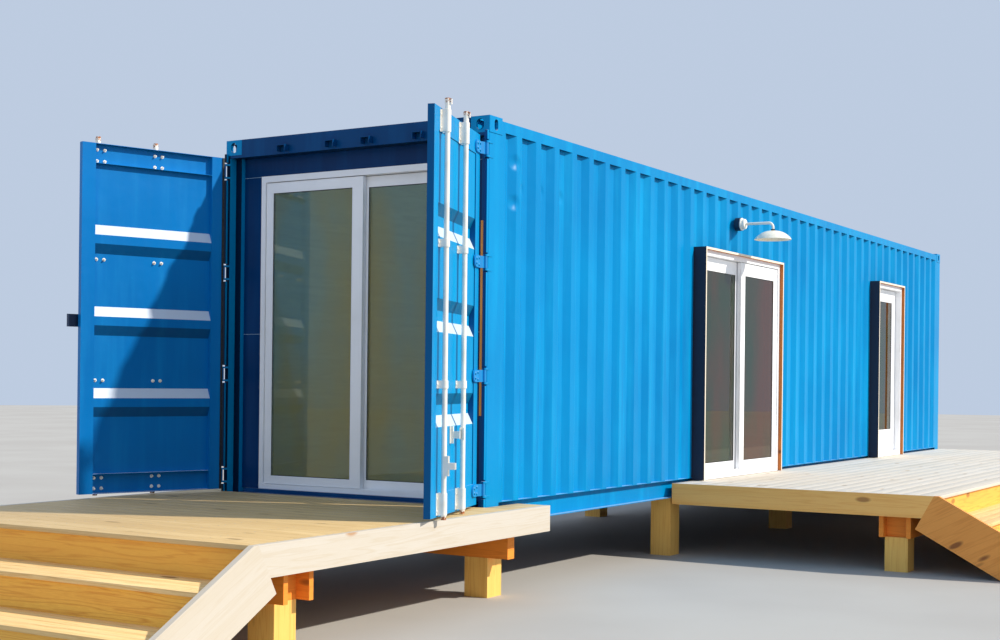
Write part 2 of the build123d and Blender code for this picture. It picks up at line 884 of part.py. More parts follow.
# Sliding doors: drawn across a face plane whose x runs along the wall, y up and z outwards
def sliding_door(name, face, width, height, fixed_side, stiles, rails, sill_nose=0):
    """White frame, fixed outer sash and sliding inner sash of one patio door."""
    half = width / 2
    with BuildPart() as frame:
        with BuildSketch(face):
            with Locations((0, height / 2)):
                Rectangle(width, height)
            with Locations((0, (frame_sill + height - frame_head) / 2)):
                Rectangle(width - 2 * frame_jamb, height - frame_head - frame_sill, mode=Mode.SUBTRACT)
        extrude(amount=-frame_depth)
        if sill_nose:
            with BuildSketch(face):
                with Locations((0, -sill_nose / 2)):
                    Rectangle(width, sill_nose)
            extrude(amount=half_width - frame_face_x)
        for track in (0, 1):
            middle = track_first + sash_thickness / 2 + track * (sash_thickness + track_gap)
            with BuildSketch(face.offset(-middle - track_rib / 2)):
                with Locations((0, frame_sill + (sash_play - running_gap) / 2)):
                    Rectangle(width - 2 * frame_jamb, sash_play - running_gap)
            extrude(amount=track_rib)
    keep(frame.part, f"{name}_frame")

    clear_width = width - 2 * frame_jamb
    sash_width = (clear_width + sash_overlap) / 2 - sash_play
    sash_low = frame_sill + sash_play
    sash_high = height - frame_head - sash_play
    sash_middle = (sash_low + sash_high) / 2
    glass_width = sash_width - sum(stiles)
    glass_height = sash_high - sash_low - sum(rails)
    offset_x = clear_width / 2 - sash_play - sash_width / 2
    glass_x = offset_x + (stiles[1] - stiles[0]) / 2
    glass_middle = sash_middle + (rails[0] - rails[1]) / 2
    for track, side, sash_name in ((0, fixed_side, "fixed"), (1, -fixed_side, f"{name}_sliding")):
        front = track_first + track * (sash_thickness + track_gap)
        glass_place = (side * glass_x, glass_middle)
        with BuildPart() as sash:
            with BuildSketch(face.offset(-front)):
                with Locations((side * offset_x, sash_middle)):
                    Rectangle(sash_width, sash_high - sash_low)
                with Locations(glass_place):
                    Rectangle(glass_width, glass_height, mode=Mode.SUBTRACT)
            extrude(amount=-sash_thickness)
        keep(sash.part, f"{sash_name}_sash")
        with BuildPart() as pane:
            with BuildSketch(face.offset(-front - (sash_thickness - glass_thickness) / 2)):
                with Locations(glass_place):
                    Rectangle(glass_width, glass_height)
            extrude(amount=-glass_thickness)
        keep(pane.part, f"{sash_name}_glass")


front_face = Plane(origin=(0, front_frame_front, floor_level), x_dir=(1, 0, 0), z_dir=(0, -1, 0))
sliding_door("front_door", front_face, front_frame_width, front_frame_height, -1, front_stiles, front_rails)

wide_middle = (wide_start + wide_end) / 2
wide_face = Plane(origin=(frame_face_x, wide_middle, wall_low), x_dir=(0, 1, 0), z_dir=(1, 0, 0))
wide_frame_width = wide_width - 2 * surround_board
wide_frame_height = wide_top - surround_board - wall_low
nose_height = wall_low - deck_top - sill_nose_gap
sliding_door(
    "wide_door", wide_face, wide_frame_width, wide_frame_height, 1, wide_stiles, wide_rails, nose_height
)


# Boards that box out the two side openings, on both sides and over the top
def surround(name, start, end, top):
    with BuildPart() as boards:
        with BuildSketch(Plane.YZ.offset(lining_face)):
            with BuildLine():
                Polyline(
                    (start, wall_low),
                    (start, top),
                    (end, top),
                    (end, wall_low),
                    (end - surround_board, wall_low),
                    (end - surround_board, top - surround_board),
                    (start + surround_board, top - surround_board),
                    (start + surround_board, wall_low),
                    close=True,
                )
            make_face()
        extrude(amount=half_width + surround_reach - lining_face)
        with BuildSketch(Plane.YZ.offset(half_width)):
            for place in (start + surround_board / 2, end - surround_board / 2):
                with Locations((place, wall_low - nose_height / 2)):
                    Rectangle(surround_board, nose_height)
        extrude(amount=surround_reach)
    keep(boards.part, name)


surround("wide_surround", wide_start, wide_end, wide_top)
surround("narrow_surround", narrow_start, narrow_end, narrow_top)

# Narrow side door: a frame and one glazed leaf hung on its far edge, opening inwards
narrow_middle = (narrow_start + narrow_end) / 2
narrow_frame_width = narrow_width - 2 * surround_board
narrow_frame_height = narrow_top - surround_board - wall_low
narrow_face = Plane(origin=(frame_face_x, narrow_middle, wall_low), x_dir=(0, 1, 0), z_dir=(1, 0, 0))
leaf_width = narrow_frame_width - 2 * frame_jamb - 2 * door_gap
leaf_low = frame_sill + door_gap
leaf_high = narrow_frame_height - frame_head - door_gap
with BuildPart() as narrow_frame:
    with BuildSketch(narrow_face):
        with Locations((0, narrow_frame_height / 2)):
            Rectangle(narrow_frame_width, narrow_frame_height)
        with Locations((0, (frame_sill + narrow_frame_height - frame_head) / 2)):
            Rectangle(
                narrow_frame_width - 2 * frame_jamb,
                narrow_frame_height - frame_head - frame_sill,
                mode=Mode.SUBTRACT,
            )
    extrude(amount=-frame_depth)
    with BuildSketch(narrow_face):
        with Locations((0, -nose_height / 2)):
            Rectangle(narrow_frame_width, nose_height)
    extrude(amount=half_width - frame_face_x)
keep(narrow_frame.part, "narrow_door_frame")

glass_low = leaf_low + door_rail_bottom
glass_high = leaf_high - door_rail_top
with BuildPart() as narrow_leaf:
    with BuildSketch(narrow_face.offset(-door_set)):
        with Locations((0, (leaf_low + leaf_high) / 2)):
            Rectangle(leaf_width, leaf_high - leaf_low)
        with Locations((0, (glass_low + glass_high) / 2)):
            Rectangle(leaf_width - 2 * door_stile, glass_high - glass_low, mode=Mode.SUBTRACT)
    extrude(amount=-door_thickness)
keep(narrow_leaf.part, "narrow_door_leaf")

with BuildPart() as narrow_glass:
    with BuildSketch(narrow_face.offset(-door_set - (door_thickness - glass_thickness) / 2)):
        with Locations((0, (glass_low + glass_high) / 2)):
            Rectangle(leaf_width - 2 * door_stile, glass_high - glass_low)
    extrude(amount=-glass_thickness)
keep(narrow_glass.part, "narrow_door_glass")

# Hinges of the narrow door, on the inner edge of its far stile
hinge_x = frame_face_x - door_set - door_thickness - door_hinge_radius
hinge_y = narrow_middle + leaf_width / 2 + door_gap / 2
with BuildPart() as narrow_hinges:
    for height in door_hinge_heights:
        with BuildSketch(Plane.XY.offset(height - door_hinge_tall / 2)):
            with Locations((hinge_x, hinge_y)):
                Circle(door_hinge_radius)
            with Locations(
                (hinge_x + door_hinge_radius - door_hinge_leaf / 2, hinge_y - door_hinge_wing / 2)
            ):
                Rectangle(door_hinge_leaf, door_hinge_wing)
        extrude(amount=door_hinge_tall)
keep(narrow_hinges.part, "narrow_door_fittings")

knob_y = narrow_middle - leaf_width / 2 + door_stile / 2
with BuildPart() as knob:
    knob_plane = Plane(
        origin=(frame_face_x - door_set, knob_y, knob_height), x_dir=(0, 1, 0), z_dir=(1, 0, 0)
    )
    with BuildSketch(knob_plane):
        Circle(knob_rose)
    extrude(amount=knob_rose_thickness)
    with BuildSketch(knob_plane):
        Circle(knob_neck)
    extrude(amount=knob_reach - knob_radius)
    with Locations((frame_face_x - door_set + knob_reach - knob_radius, knob_y, knob_height)):
        Sphere(knob_radius)
keep(knob.part, "narrow_door_fittings")

# Wall lamp: plate and box, bent tube and a spun dish shade
lamp_height = wide_top + lamp_above_door
lamp_plane = Plane(origin=(post_face, wide_middle, lamp_height), x_dir=(0, 1, 0), z_dir=(1, 0, 0))
plate_back = lamp_spacer_depth + lamp_plate_thickness
with BuildPart() as lamp_mount:
    with BuildSketch(lamp_plane):
        Circle(lamp_spacer_radius)
    extrude(amount=lamp_spacer_depth)
    with BuildSketch(lamp_plane.offset(lamp_spacer_depth)):
        Circle(lamp_plate_radius)
    extrude(amount=lamp_plate_thickness)
    with BuildSketch(lamp_plane.offset(plate_back)):
        Circle(lamp_box_radius)
    extrude(amount=lamp_box_depth)
    fillet(lamp_mount.faces().sort_by(Axis.X)[-1].edges(), radius=lamp_box_round)
keep(lamp_mount.part, "lamp_bracket")

arm_start = post_face + plate_back + lamp_box_depth
arm_x = post_face + lamp_reach
with BuildPart() as lamp_arm:
    with BuildLine(Plane.XZ.offset(-wide_middle)):
        FilletPolyline(
            (arm_start, lamp_height),
            (arm_x, lamp_height),
            (arm_x, lamp_height - lamp_drop),
            radius=lamp_elbow,
        )
    with BuildSketch(Plane(origin=(arm_start, wide_middle, lamp_height), z_dir=(1, 0, 0))):
        Circle(lamp_tube)
    sweep()
keep(lamp_arm.part, "lamp_bracket")

shade_top = lamp_height - lamp_drop
with BuildPart() as lamp_shade:
    shade_plane = Plane(origin=(arm_x, wide_middle, shade_top), x_dir=(1, 0, 0), z_dir=(0, -1, 0))
    with BuildSketch(shade_plane):
        with BuildLine():
            neck_low = -shade_neck_height
            rim_low = neck_low - shade_height
            shoulder_low = neck_low - shade_shoulder_drop
            crown_low = neck_low - 2 * shade_wall
            Line((0, 0), (shade_neck, 0))
            Line((shade_neck, 0), (shade_neck, neck_low))
            ThreePointArc((shade_neck, neck_low), (shade_shoulder, shoulder_low), (shade_radius, rim_low))
            Line((shade_radius, rim_low), (shade_radius - shade_wall, rim_low))
            ThreePointArc(
                (shade_radius - shade_wall, rim_low),
                (shade_shoulder - 2 * shade_wall, shoulder_low - shade_wall),
                (shade_neck, crown_low),
            )
            Line((shade_neck, crown_low), (0, crown_low))
            Line((0, crown_low), (0, 0))
        make_face()
    revolve(axis=Axis((arm_x, wide_middle, 0), (0, 0, 1)))
keep(lamp_shade.part, "lamp_shade")

# Posts that carry the container, the front pair notched for a beam under the castings
boards_low = deck_top - deck_board
joist_low = boards_low - joist_height
beam_low = joist_low - ply_height
back_beam_back = back_beam_front + back_beam_width
pier_last = container_length - pier_end
pier_pitch = (pier_last - pier_second) / pier_spaces
pier_tops = [(pier_end, 0.0), (pier_last, 0.0)]
for number in range(pier_spaces):
    pier_tops.append((pier_second + number * pier_pitch, bottom_rail_low))
with BuildPart() as piers:
    for place, top in pier_tops:
        with BuildSketch(Plane.XY.offset(ground)):
            for side in (-1, 1):
                with Locations((side * (half_width - pier_inset), place)):
                    Rectangle(post_width, post_width)
        extrude(amount=top - ground)
    with BuildSketch(Plane.XY.offset(beam_low)):
        with Locations((0, back_beam_back / 2)):
            Rectangle(2 * half_width, back_beam_back)
    extrude(amount=-beam_low, mode=Mode.SUBTRACT)
keep(piers.part, "support_posts")

with BuildPart() as bearings:
    with BuildSketch(Plane.XY.offset(joist_low)):
        for side in (-1, 1):
            with Locations((side * (half_width - casting_width / 2), back_beam_front + back_beam_width / 2)):
                Rectangle(casting_width, back_beam_width)
    extrude(amount=-joist_low)
keep(bearings.part, "casting_bearings")

# Front deck
front_edge = -front_depth
front_board_half = front_half_width - fascia_width
with BuildPart() as front_boards:
    with BuildSketch(Plane.XY.offset(boards_low)):
        with Locations((0, (front_edge - board_gap) / 2)):
            Rectangle(2 * front_board_half, front_depth - board_gap)
        for side in (-1, 1):
            strip_inner = half_width + board_gap
            with Locations((side * (strip_inner + front_board_half) / 2, side_strip / 2)):
                Rectangle(front_board_half - strip_inner, side_strip)
    extrude(amount=deck_board)
keep(front_boards.part, "deck_boards")

riser_front = front_edge + nosing
stair_slope = riser_height / stair_run
fascia_low = deck_top - fascia_height
seam_shift = fascia_height * stair_slope
with BuildPart() as front_fascia:
    for side in (-front_half_width, front_board_half):
        with BuildSketch(Plane.YZ.offset(side)):
            with BuildLine():
                Polyline(
                    (front_edge + seam_back, deck_top),
                    (side_strip, deck_top),
                    (side_strip, fascia_low),
                    (front_edge + seam_back + seam_shift, fascia_low),
                    close=True,
                )
            make_face()
        extrude(amount=fascia_width)
keep(front_fascia.part, "deck_fascia")

joist_count = int(2 * front_board_half / front_joist_pitch) + 1
with BuildPart() as front_joists:
    with BuildSketch(Plane.XY.offset(joist_low)):
        joist_front = riser_front + 2 * joist_width
        with Locations((0, (joist_front - joist_width) / 2)):
            with GridLocations((2 * front_board_half - joist_width) / (joist_count - 1), 1, joist_count, 1):
                Rectangle(joist_width, -joist_front - joist_width - 2 * running_gap)
        for place in (-joist_width / 2, joist_front - joist_width / 2):
            with Locations((0, place)):
                Rectangle(2 * front_board_half, joist_width)
        for side in (-1, 1):
            for strip_joist in (half_width + board_gap + joist_width / 2, front_board_half - joist_width / 2):
                with Locations((side * strip_joist, (side_strip + running_gap) / 2)):
                    Rectangle(joist_width, side_strip - running_gap)
    extrude(amount=joist_height)
keep(front_joists.part, "deck_joists")


def double_beam(length):
    """Two plies with a block near each end, drawn along local x and centred."""
    for ply in (-1, 1):
        with Locations((0, ply * (beam_width - ply_width) / 2)):
            Rectangle(length, ply_width)
    for end in (-1, 1):
        with Locations((end * (length / 2 - post_width), 0)):
            Rectangle(post_width, beam_width - 2 * ply_width - 2 * running_gap)


with BuildPart() as front_beams:
    with BuildSketch(Plane((0, front_beam_place, beam_low))):
        double_beam(2 * front_beam_half)
    extrude(amount=ply_height)
    with BuildSketch(Plane.XY.offset(beam_low)):
        with Locations((0, back_beam_front + back_beam_width / 2)):
            Rectangle(2 * back_beam_half, back_beam_width)
    extrude(amount=ply_height)
keep(front_beams.part, "deck_beams")

with BuildPart() as front_posts:
    with BuildSketch(Plane.XY.offset(ground)):
        for side in (-1, 1):
            with Locations((side * (front_beam_half - post_width), front_beam_place)):
                Rectangle(post_width, post_width)
    extrude(amount=beam_low - ground)
keep(front_posts.part, "support_posts")

# Side deck, its boards and beams running along the container
side_inner = half_width + board_gap
side_end = container_length
side_board_start = side_start + fascia_width
side_board_end = side_end - fascia_width
side_board_edge = side_edge - fascia_width
stair_end = side_board_start + side_stair_width
side_riser_face = side_edge - nosing
with BuildPart() as side_boards:
    with BuildSketch(Plane.XY.offset(boards_low)):
        with Locations(((side_inner + side_board_edge) / 2, (side_board_start + side_board_end) / 2)):
            Rectangle(side_board_edge - side_inner, side_board_end - side_board_start)
        with Locations(((side_board_edge + side_edge) / 2, (side_board_start + stair_end) / 2)):
            Rectangle(fascia_width, side_stair_width)
    extrude(amount=deck_board)
keep(side_boards.part, "deck_boards")

with BuildPart() as side_fascia:
    with BuildSketch(Plane.XZ.offset(-side_start)):
        with BuildLine():
            Polyline(
                (half_width, deck_top),
                (side_edge - seam_back, deck_top),
                (side_edge - seam_back - seam_shift, fascia_low),
                (half_width, fascia_low),
                close=True,
            )
        make_face()
    extrude(amount=-fascia_width)
    far_start = half_width + running_gap
    far_end = side_board_edge - running_gap
    with BuildSketch(Plane.XY.offset(fascia_low)):
        with Locations(((side_board_edge + side_edge) / 2, (stair_end + side_end) / 2)):
            Rectangle(fascia_width, side_end - stair_end)
        with Locations(((far_start + far_end) / 2, side_end - fascia_width / 2)):
            Rectangle(far_end - far_start, fascia_width)
    extrude(amount=fascia_height)
keep(side_fascia.part, "deck_fascia")

side_frame_outer = side_riser_face - joist_width
side_frame_length = side_board_end - side_board_start
side_joist_count = int(side_frame_length / side_joist_pitch) + 1
side_middle = (side_board_start + side_board_end) / 2
side_joist_step = (side_frame_length - joist_width) / (side_joist_count - 1)
with BuildPart() as side_joists:
    with BuildSketch(Plane.XY.offset(joist_low)):
        with Locations(((half_width + side_frame_outer) / 2, side_middle)):
            with GridLocations(1, side_joist_step, 1, side_joist_count):
                Rectangle(side_frame_outer - half_width - 2 * joist_width - 2 * running_gap, joist_width)
        for place in (half_width + joist_width / 2, side_frame_outer - joist_width / 2):
            with Locations((place, side_middle)):
                Rectangle(joist_width, side_frame_length)
    extrude(amount=joist_height)
keep(side_joists.part, "deck_joists")

side_beam_length = side_board_end - side_beam_start
side_beam_middle = (side_beam_start + side_board_end) / 2
beam_plane = Plane(origin=(side_beam_x, side_beam_middle, beam_low), x_dir=(0, 1, 0), z_dir=(0, 0, 1))
with BuildPart() as side_beams:
    with BuildSketch(beam_plane):
        double_beam(side_beam_length)
    extrude(amount=ply_height)
keep(side_beams.part, "deck_beams")

side_post_pitch = (side_beam_length - side_post_first - side_post_last) / side_post_spaces
with BuildPart() as side_posts:
    with BuildSketch(Plane.XY.offset(ground)):
        for number in range(side_post_spaces + 1):
            with Locations((side_beam_x, side_beam_start + side_post_first + number * side_post_pitch)):
                Rectangle(post_width, post_width)
    extrude(amount=beam_low - ground)
keep(side_posts.part, "support_posts")


# Stairs: drawn on a plane whose x runs down the flight, y up and z across it
def stairs(corner, down, across, width, flush_cheeks):
    """Treads, risers and cheek boards of one flight below the deck edge."""
    profile = Plane(origin=corner, x_dir=down, z_dir=across)
    upright = 1 if profile.y_dir.Z > 0 else -1

    def outline(points):
        """The given corners on the profile plane, with heights turned the right way up."""
        return [(run, upright * height) for run, height in points]

    with BuildPart() as treads:
        with BuildSketch(profile):
            for step in range(1, riser_count):
                back = (step - 1) * stair_run - nosing
                front = step * stair_run
                top = deck_top - step * riser_height
                low = top - deck_board
                with BuildLine():
                    Polyline(*outline([(back, top), (front, top), (front, low), (back, low)]), close=True)
                make_face()
        extrude(amount=width)
    keep(treads.part, "stair_treads")

    with BuildPart() as risers:
        with BuildSketch(profile):
            for step in range(riser_count):
                face = step * stair_run - nosing
                back = face - joist_width
                top = deck_top - deck_board - step * riser_height
                low = ground if step == riser_count - 1 else top - riser_height
                with BuildLine():
                    Polyline(*outline([(back, top), (face, top), (face, low), (back, low)]), close=True)
                make_face()
        extrude(amount=width)
    keep(risers.part, "stair_risers")

    # Cheek boards are square ended, with the top corner cut level with the deck
    plumb = cheek_depth * (1 + stair_slope**2) ** 0.5
    foot = (deck_top - ground) / stair_slope
    end_drop = (plumb - seam_back * stair_slope) / (1 + stair_slope**2)
    end_run = -seam_back - end_drop * stair_slope
    end_height = deck_top - end_drop
    with BuildPart() as cheeks:
        for start, flush in zip((-fascia_width, width), flush_cheeks):
            if flush:
                top_end = [(end_run, end_height), (-seam_back, deck_top)]
            else:
                top_end = [(0, deck_top - plumb)]
            with BuildSketch(profile.offset(start)):
                with BuildLine():
                    Polyline(
                        *outline(
                            [
                                (0, deck_top),
                                (foot - cheek_foot, ground + cheek_foot * stair_slope),
                                (foot - cheek_foot, ground),
                                (foot - plumb / stair_slope, ground),
                                *top_end,
                            ]
                        ),
                        close=True,
                    )
                make_face()
            extrude(amount=fascia_width)
    keep(cheeks.part, "stair_cheeks")


stairs(
    (-front_board_half, front_edge, 0),
    (0, -1, 0),
    (1, 0, 0),
    2 * front_board_half,
    (True, True),
)
stairs(
    (side_edge, side_board_start, 0),
    (1, 0, 0),
    (0, 1, 0),
    side_stair_width,
    (True, False),
)

# Move everything so that the origin is the middle of the footprint on the ground
boxes = [part.bounding_box() for parts in finished.values() for part in parts]
middle_x = (min(box.min.X for box in boxes) + max(box.max.X for box in boxes)) / 2
middle_y = (min(box.min.Y for box in boxes) + max(box.max.Y for box in boxes)) / 2
to_origin = Location((-middle_x, -middle_y, -ground))
for name, parts in finished.items():
    with BuildPart() as node:
        for part in parts:
            add(part.moved(to_origin))
    node.part.label = name
    export_step(node.part, f"parts/{name}.step")
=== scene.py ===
import math

import bpy
from mathutils import Matrix, Vector


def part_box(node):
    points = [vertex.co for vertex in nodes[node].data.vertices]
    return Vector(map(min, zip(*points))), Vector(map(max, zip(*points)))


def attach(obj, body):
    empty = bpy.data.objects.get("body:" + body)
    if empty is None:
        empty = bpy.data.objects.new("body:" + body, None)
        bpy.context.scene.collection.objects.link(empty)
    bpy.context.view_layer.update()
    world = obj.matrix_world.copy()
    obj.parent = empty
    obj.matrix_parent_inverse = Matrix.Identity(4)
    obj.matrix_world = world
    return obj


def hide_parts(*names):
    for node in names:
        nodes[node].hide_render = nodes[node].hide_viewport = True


# Shipping container cabin: finishes, deck boards, seals, fasteners, light and camera.
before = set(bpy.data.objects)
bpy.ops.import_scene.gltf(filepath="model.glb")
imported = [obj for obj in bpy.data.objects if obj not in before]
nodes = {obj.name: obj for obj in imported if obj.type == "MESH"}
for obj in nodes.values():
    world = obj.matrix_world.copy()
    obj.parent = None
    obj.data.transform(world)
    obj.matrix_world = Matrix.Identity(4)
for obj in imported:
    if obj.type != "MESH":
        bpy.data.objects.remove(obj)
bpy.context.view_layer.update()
bpy.ops.object.select_all(action="DESELECT")
bpy.context.scene.view_settings.view_transform = "Standard"

# Sizes are in millimetres on the container: x = 0 is its centre line, y = 0 its door end and z = 0
# the underside of its corner castings.
casting_low, casting_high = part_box("corner_castings")
container_origin = Vector(((casting_low.x + casting_high.x) / 2, casting_low.y, casting_low.z))


def spot(x, y, z):
    """A point of the container, given in millimetres, as a point of the frame in metres."""
    return container_origin + Vector((x, y, z)) / 1000


# Sizes that come up more than once. The cargo doors turn on pins at pin_x and pin_y, and the photograph
# shows them open by these angles.
pin_x, pin_y = 1212, -26
side_of = {"left": -1, "right": 1}
swing_of = {"left": math.radians(109), "right": math.radians(108)}
beside_wall = 1224
deck_half, deck_front, deck_low, deck_high = 1452, -2760, 117.0, 145.0
rise, run = 206.0, 380.0


def colour(code):
    """An sRGB hex value as the linear colour that a shader reads."""
    parts = [int(code[place:place + 2], 16) / 255 for place in (1, 3, 5)]
    return [part / 12.92 if part <= 0.04045 else ((part + 0.055) / 1.055) ** 2.4 for part in parts] + [1.0]


def add_node(tree, kind, sockets=None, **settings):
    """Add one node with its settings; each socket gets a hex colour, a value or the output that feeds it."""
    node = tree.nodes.new(kind)
    for setting, value in settings.items():
        setattr(node, setting, value)
    for socket, value in (sockets or {}).items():
        if isinstance(value, bpy.types.NodeSocket):
            tree.links.new(value, node.inputs[socket])
        else:
            node.inputs[socket].default_value = colour(value) if isinstance(value, str) else value
    return node


def new_finish(name, roughness, metallic=0.0):
    """An empty finish: its material, its node tree, its shader and the object's coordinates."""
    finish = bpy.data.materials.new(name)
    finish.use_nodes = True
    tree = finish.node_tree
    shader = tree.nodes["Principled BSDF"]
    shader.inputs["Roughness"].default_value = roughness
    shader.inputs["Metallic"].default_value = metallic
    place = add_node(tree, "ShaderNodeTexCoord").outputs["Object"]
    return finish, tree, shader, place


def cloudy(tree, place, size_mm, detail=4.0, stretch=(1.0, 1.0, 1.0)):
    """A cloudy pattern with features of the given size, drawn out along an axis given under one."""
    placed = add_node(tree, "ShaderNodeMapping", {"Vector": place, "Scale": stretch}).outputs[0]
    sockets = {"Vector": placed, "Scale": 1000 / size_mm, "Detail": detail}
    return add_node(tree, "ShaderNodeTexNoise", sockets).outputs[0]


def layered(tree, under, over, pattern, low, high, most=1.0):
    """The colour over lies on the colour under where the pattern is high, with soft edges."""
    ramp = {0: pattern, 1: low, 2: high, 3: 0.0, 4: most}
    share = add_node(tree, "ShaderNodeMapRange", ramp).outputs[0]
    sockets = {0: share, 6: under, 7: over}
    return add_node(tree, "ShaderNodeMix", sockets, data_type="RGBA").outputs[2]


def raised(tree, shader, *heights):
    """Light and shade from height patterns, each with its depth in millimetres and its strength."""
    below = None
    for height, depth_mm, strength in heights:
        sockets = {"Height": height, "Strength": strength, "Distance": depth_mm / 1000}
        if below is not None:
            sockets["Normal"] = below
        below = add_node(tree, "ShaderNodeBump", sockets).outputs[0]
    tree.links.new(below, shader.inputs["Normal"])


def knocks(tree, place):
    """Hollows in the first folds of the long wall, each a hand wide: nought at their middles, one away."""
    nearest = None
    for along, height in ((380, 2610), (490, 2430), (370, 2320), (790, 2450), (1100, 2440)):
        sockets = {0: place, 1: spot(1200, along, height)}
        away = add_node(tree, "ShaderNodeVectorMath", sockets, operation="DISTANCE").outputs["Value"]
        ramp = {0: away, 1: 0.0, 2: 0.07, 3: 0.0, 4: 1.0}
        hollow = add_node(tree, "ShaderNodeMapRange", ramp, interpolation_type="SMOOTHSTEP").outputs[0]
        if nearest is not None:
            sockets = {0: nearest, 1: hollow}
            hollow = add_node(tree, "ShaderNodeMath", sockets, operation="MINIMUM").outputs[0]
        nearest = hollow
    return nearest


# Blue alkyd enamel, sprayed on pressed steel. The tint drifts from sheet to sheet, washing leaves paler
# upright runs, dust and a painted sun glint make the slopes that face the sky milky, painted shade darkens
# folds that face down and, where asked, faces that look forward, and the thin sheet is never flat, so its
# reflections waver.
def enamel(name, tone, deep, pale, dust_and_glint=0.3, gloss=0.25, painted_shade_tone=None):
    finish, tree, shader, place = new_finish(name, 0.36)
    shader.inputs["Specular IOR Level"].default_value = gloss
    drift = cloudy(tree, place, 1300)
    runs = cloudy(tree, place, 95, 3.0, (1.0, 1.0, 0.08))
    scuffs = cloudy(tree, place, 30, 6.0)
    shade = layered(tree, deep, tone, drift, 0.35, 0.65)
    washed = layered(tree, shade, pale, runs, 0.5, 0.8, 0.45)
    rubbed = layered(tree, washed, pale, scuffs, 0.68, 0.8, 0.3)
    # The faces are told by the way they face when the doors stand open
    shown = {0: add_node(tree, "ShaderNodeNewGeometry").outputs["Normal"]}
    ways = {"vector_type": "NORMAL", "convert_from": "WORLD", "convert_to": "OBJECT"}
    normal = add_node(tree, "ShaderNodeVectorTransform", shown, **ways).outputs[0]
    facing = add_node(tree, "ShaderNodeSeparateXYZ", {0: normal})
    if painted_shade_tone is not None:
        # Painted shade on the faces that look forward, deeper still on the left side
        sideways = add_node(tree, "ShaderNodeSeparateXYZ", {0: place}).outputs[0]
        centre = spot(0, 0, 0).x
        painted_front_shade = layered(tree, "#01203e", painted_shade_tone, sideways, centre - 0.01, centre + 0.01)
        backward = add_node(tree, "ShaderNodeMath", {0: facing.outputs[1], 1: -1.0}, operation="MULTIPLY")
        rubbed = layered(tree, rubbed, painted_front_shade, backward.outputs[0], 0.85, 0.95)
    # Faces that look up turn milky white: partly dust, partly a painted sun glint
    dust_and_glint_colour = layered(tree, rubbed, "#f2f8fc", facing.outputs[2], 0.25, 0.5, dust_and_glint)
    # Painted shade: a dark navy where a fold faces down
    downward = add_node(tree, "ShaderNodeMath", {0: facing.outputs[2], 1: -1.0}, operation="MULTIPLY")
    shade_under_folds = layered(tree, dust_and_glint_colour, "#01233f", downward.outputs[0], 0.25, 0.5, 0.8)
    tree.links.new(shade_under_folds, shader.inputs["Base Color"])
    ramp = {0: runs, 1: 0.3, 2: 0.8, 3: 0.31, 4: 0.42}
    tree.links.new(add_node(tree, "ShaderNodeMapRange", ramp).outputs[0], shader.inputs["Roughness"])
    # Oil canning is broad and shallow. The spray's grain is 0.6 mm, drawn at 3 mm so that it shows.
    waves = cloudy(tree, place, 210, 2.0)
    grain = cloudy(tree, place, 3, 2.0)
    raised(tree, shader, (knocks(tree, place), 14.0, 1.0), (waves, 8.0, 0.6), (grain, 0.4, 0.2))
    return finish


# Hot-dip galvanised steel: dull grey with zinc crystals 12 mm across, creamy where it has weathered.
def galvanised(name):
    finish, tree, shader, place = new_finish(name, 0.5, 0.3)
    crystals = add_node(tree, "ShaderNodeTexVoronoi", {"Vector": place, "Scale": 80.0}).outputs["Color"]
    spangle = add_node(tree, "ShaderNodeSeparateColor", {0: crystals}).outputs[0]
    weather = cloudy(tree, place, 60, 5.0)
    crystal = layered(tree, "#8f989c", "#b9bfc0", spangle, 0.0, 1.0)
    tree.links.new(layered(tree, crystal, "#c9c4b4", weather, 0.4, 0.7, 0.6), shader.inputs["Base Color"])
    raised(tree, shader, (weather, 0.5, 0.3))
    return finish


# Brushed cream paint on steel bars: smooth and even, dulled in patches where hands and rain have been.
def cream_paint(name):
    finish, tree, shader, place = new_finish(name, 0.42)
    weather = cloudy(tree, place, 90, 5.0)
    paint = layered(tree, "#f6f2e8", "#dad5c6", weather, 0.45, 0.8, 0.7)
    raised(tree, shader, (weather, 0.3, 0.2))
    return finish, tree, shader, place, paint


# Locking rods: cream paint, with orange rust at both tips where it is knocked off, from 1.25 m above
# and below their middle.
def rod_paint(name):
    finish, tree, shader, place, paint = cream_paint(name)
    height = add_node(tree, "ShaderNodeSeparateXYZ", {0: place}).outputs[2]
    rod_middle = spot(0, 0, 1480).z
    above = add_node(tree, "ShaderNodeMath", {0: height, 1: rod_middle}, operation="SUBTRACT").outputs[0]
    away = add_node(tree, "ShaderNodeMath", {0: above}, operation="ABSOLUTE").outputs[0]
    tip = add_node(tree, "ShaderNodeMapRange", {0: away, 1: 1.25, 2: 1.33, 3: -0.4, 4: 0.2}).outputs[0]
    rust = cloudy(tree, place, 14, 6.0)
    eaten = add_node(tree, "ShaderNodeMath", {0: rust, 1: tip}, operation="ADD").outputs[0]
    brown = layered(tree, "#cc7a34", "#8a4a20", rust, 0.4, 0.6)
    tree.links.new(layered(tree, paint, brown, eaten, 0.5, 0.6), shader.inputs["Base Color"])
    return finish


# Cargo door fittings: the hinge blades, within 0.25 m of the pin, are sprayed with the door. The rod
# straps and the handle catch keep their cream, and the lock box on the leaf's edge has its own dark paint.
def fittings_paint(name, leaf, blade_tone):
    finish, tree, shader, place, paint = cream_paint(name)
    level = add_node(tree, "ShaderNodeVectorMath", {0: place, 1: (1.0, 1.0, 0.0)}, operation="MULTIPLY")
    pin = spot(side_of[leaf] * pin_x, pin_y, 0)
    sockets = {0: level.outputs[0], 1: (pin.x, pin.y, 0.0)}
    away = add_node(tree, "ShaderNodeVectorMath", sockets, operation="DISTANCE").outputs["Value"]
    blades = layered(tree, blade_tone, paint, away, 0.24, 0.26)
    tree.links.new(layered(tree, blades, "#0a2444", away, 1.12, 1.13), shader.inputs["Base Color"])
    return finish


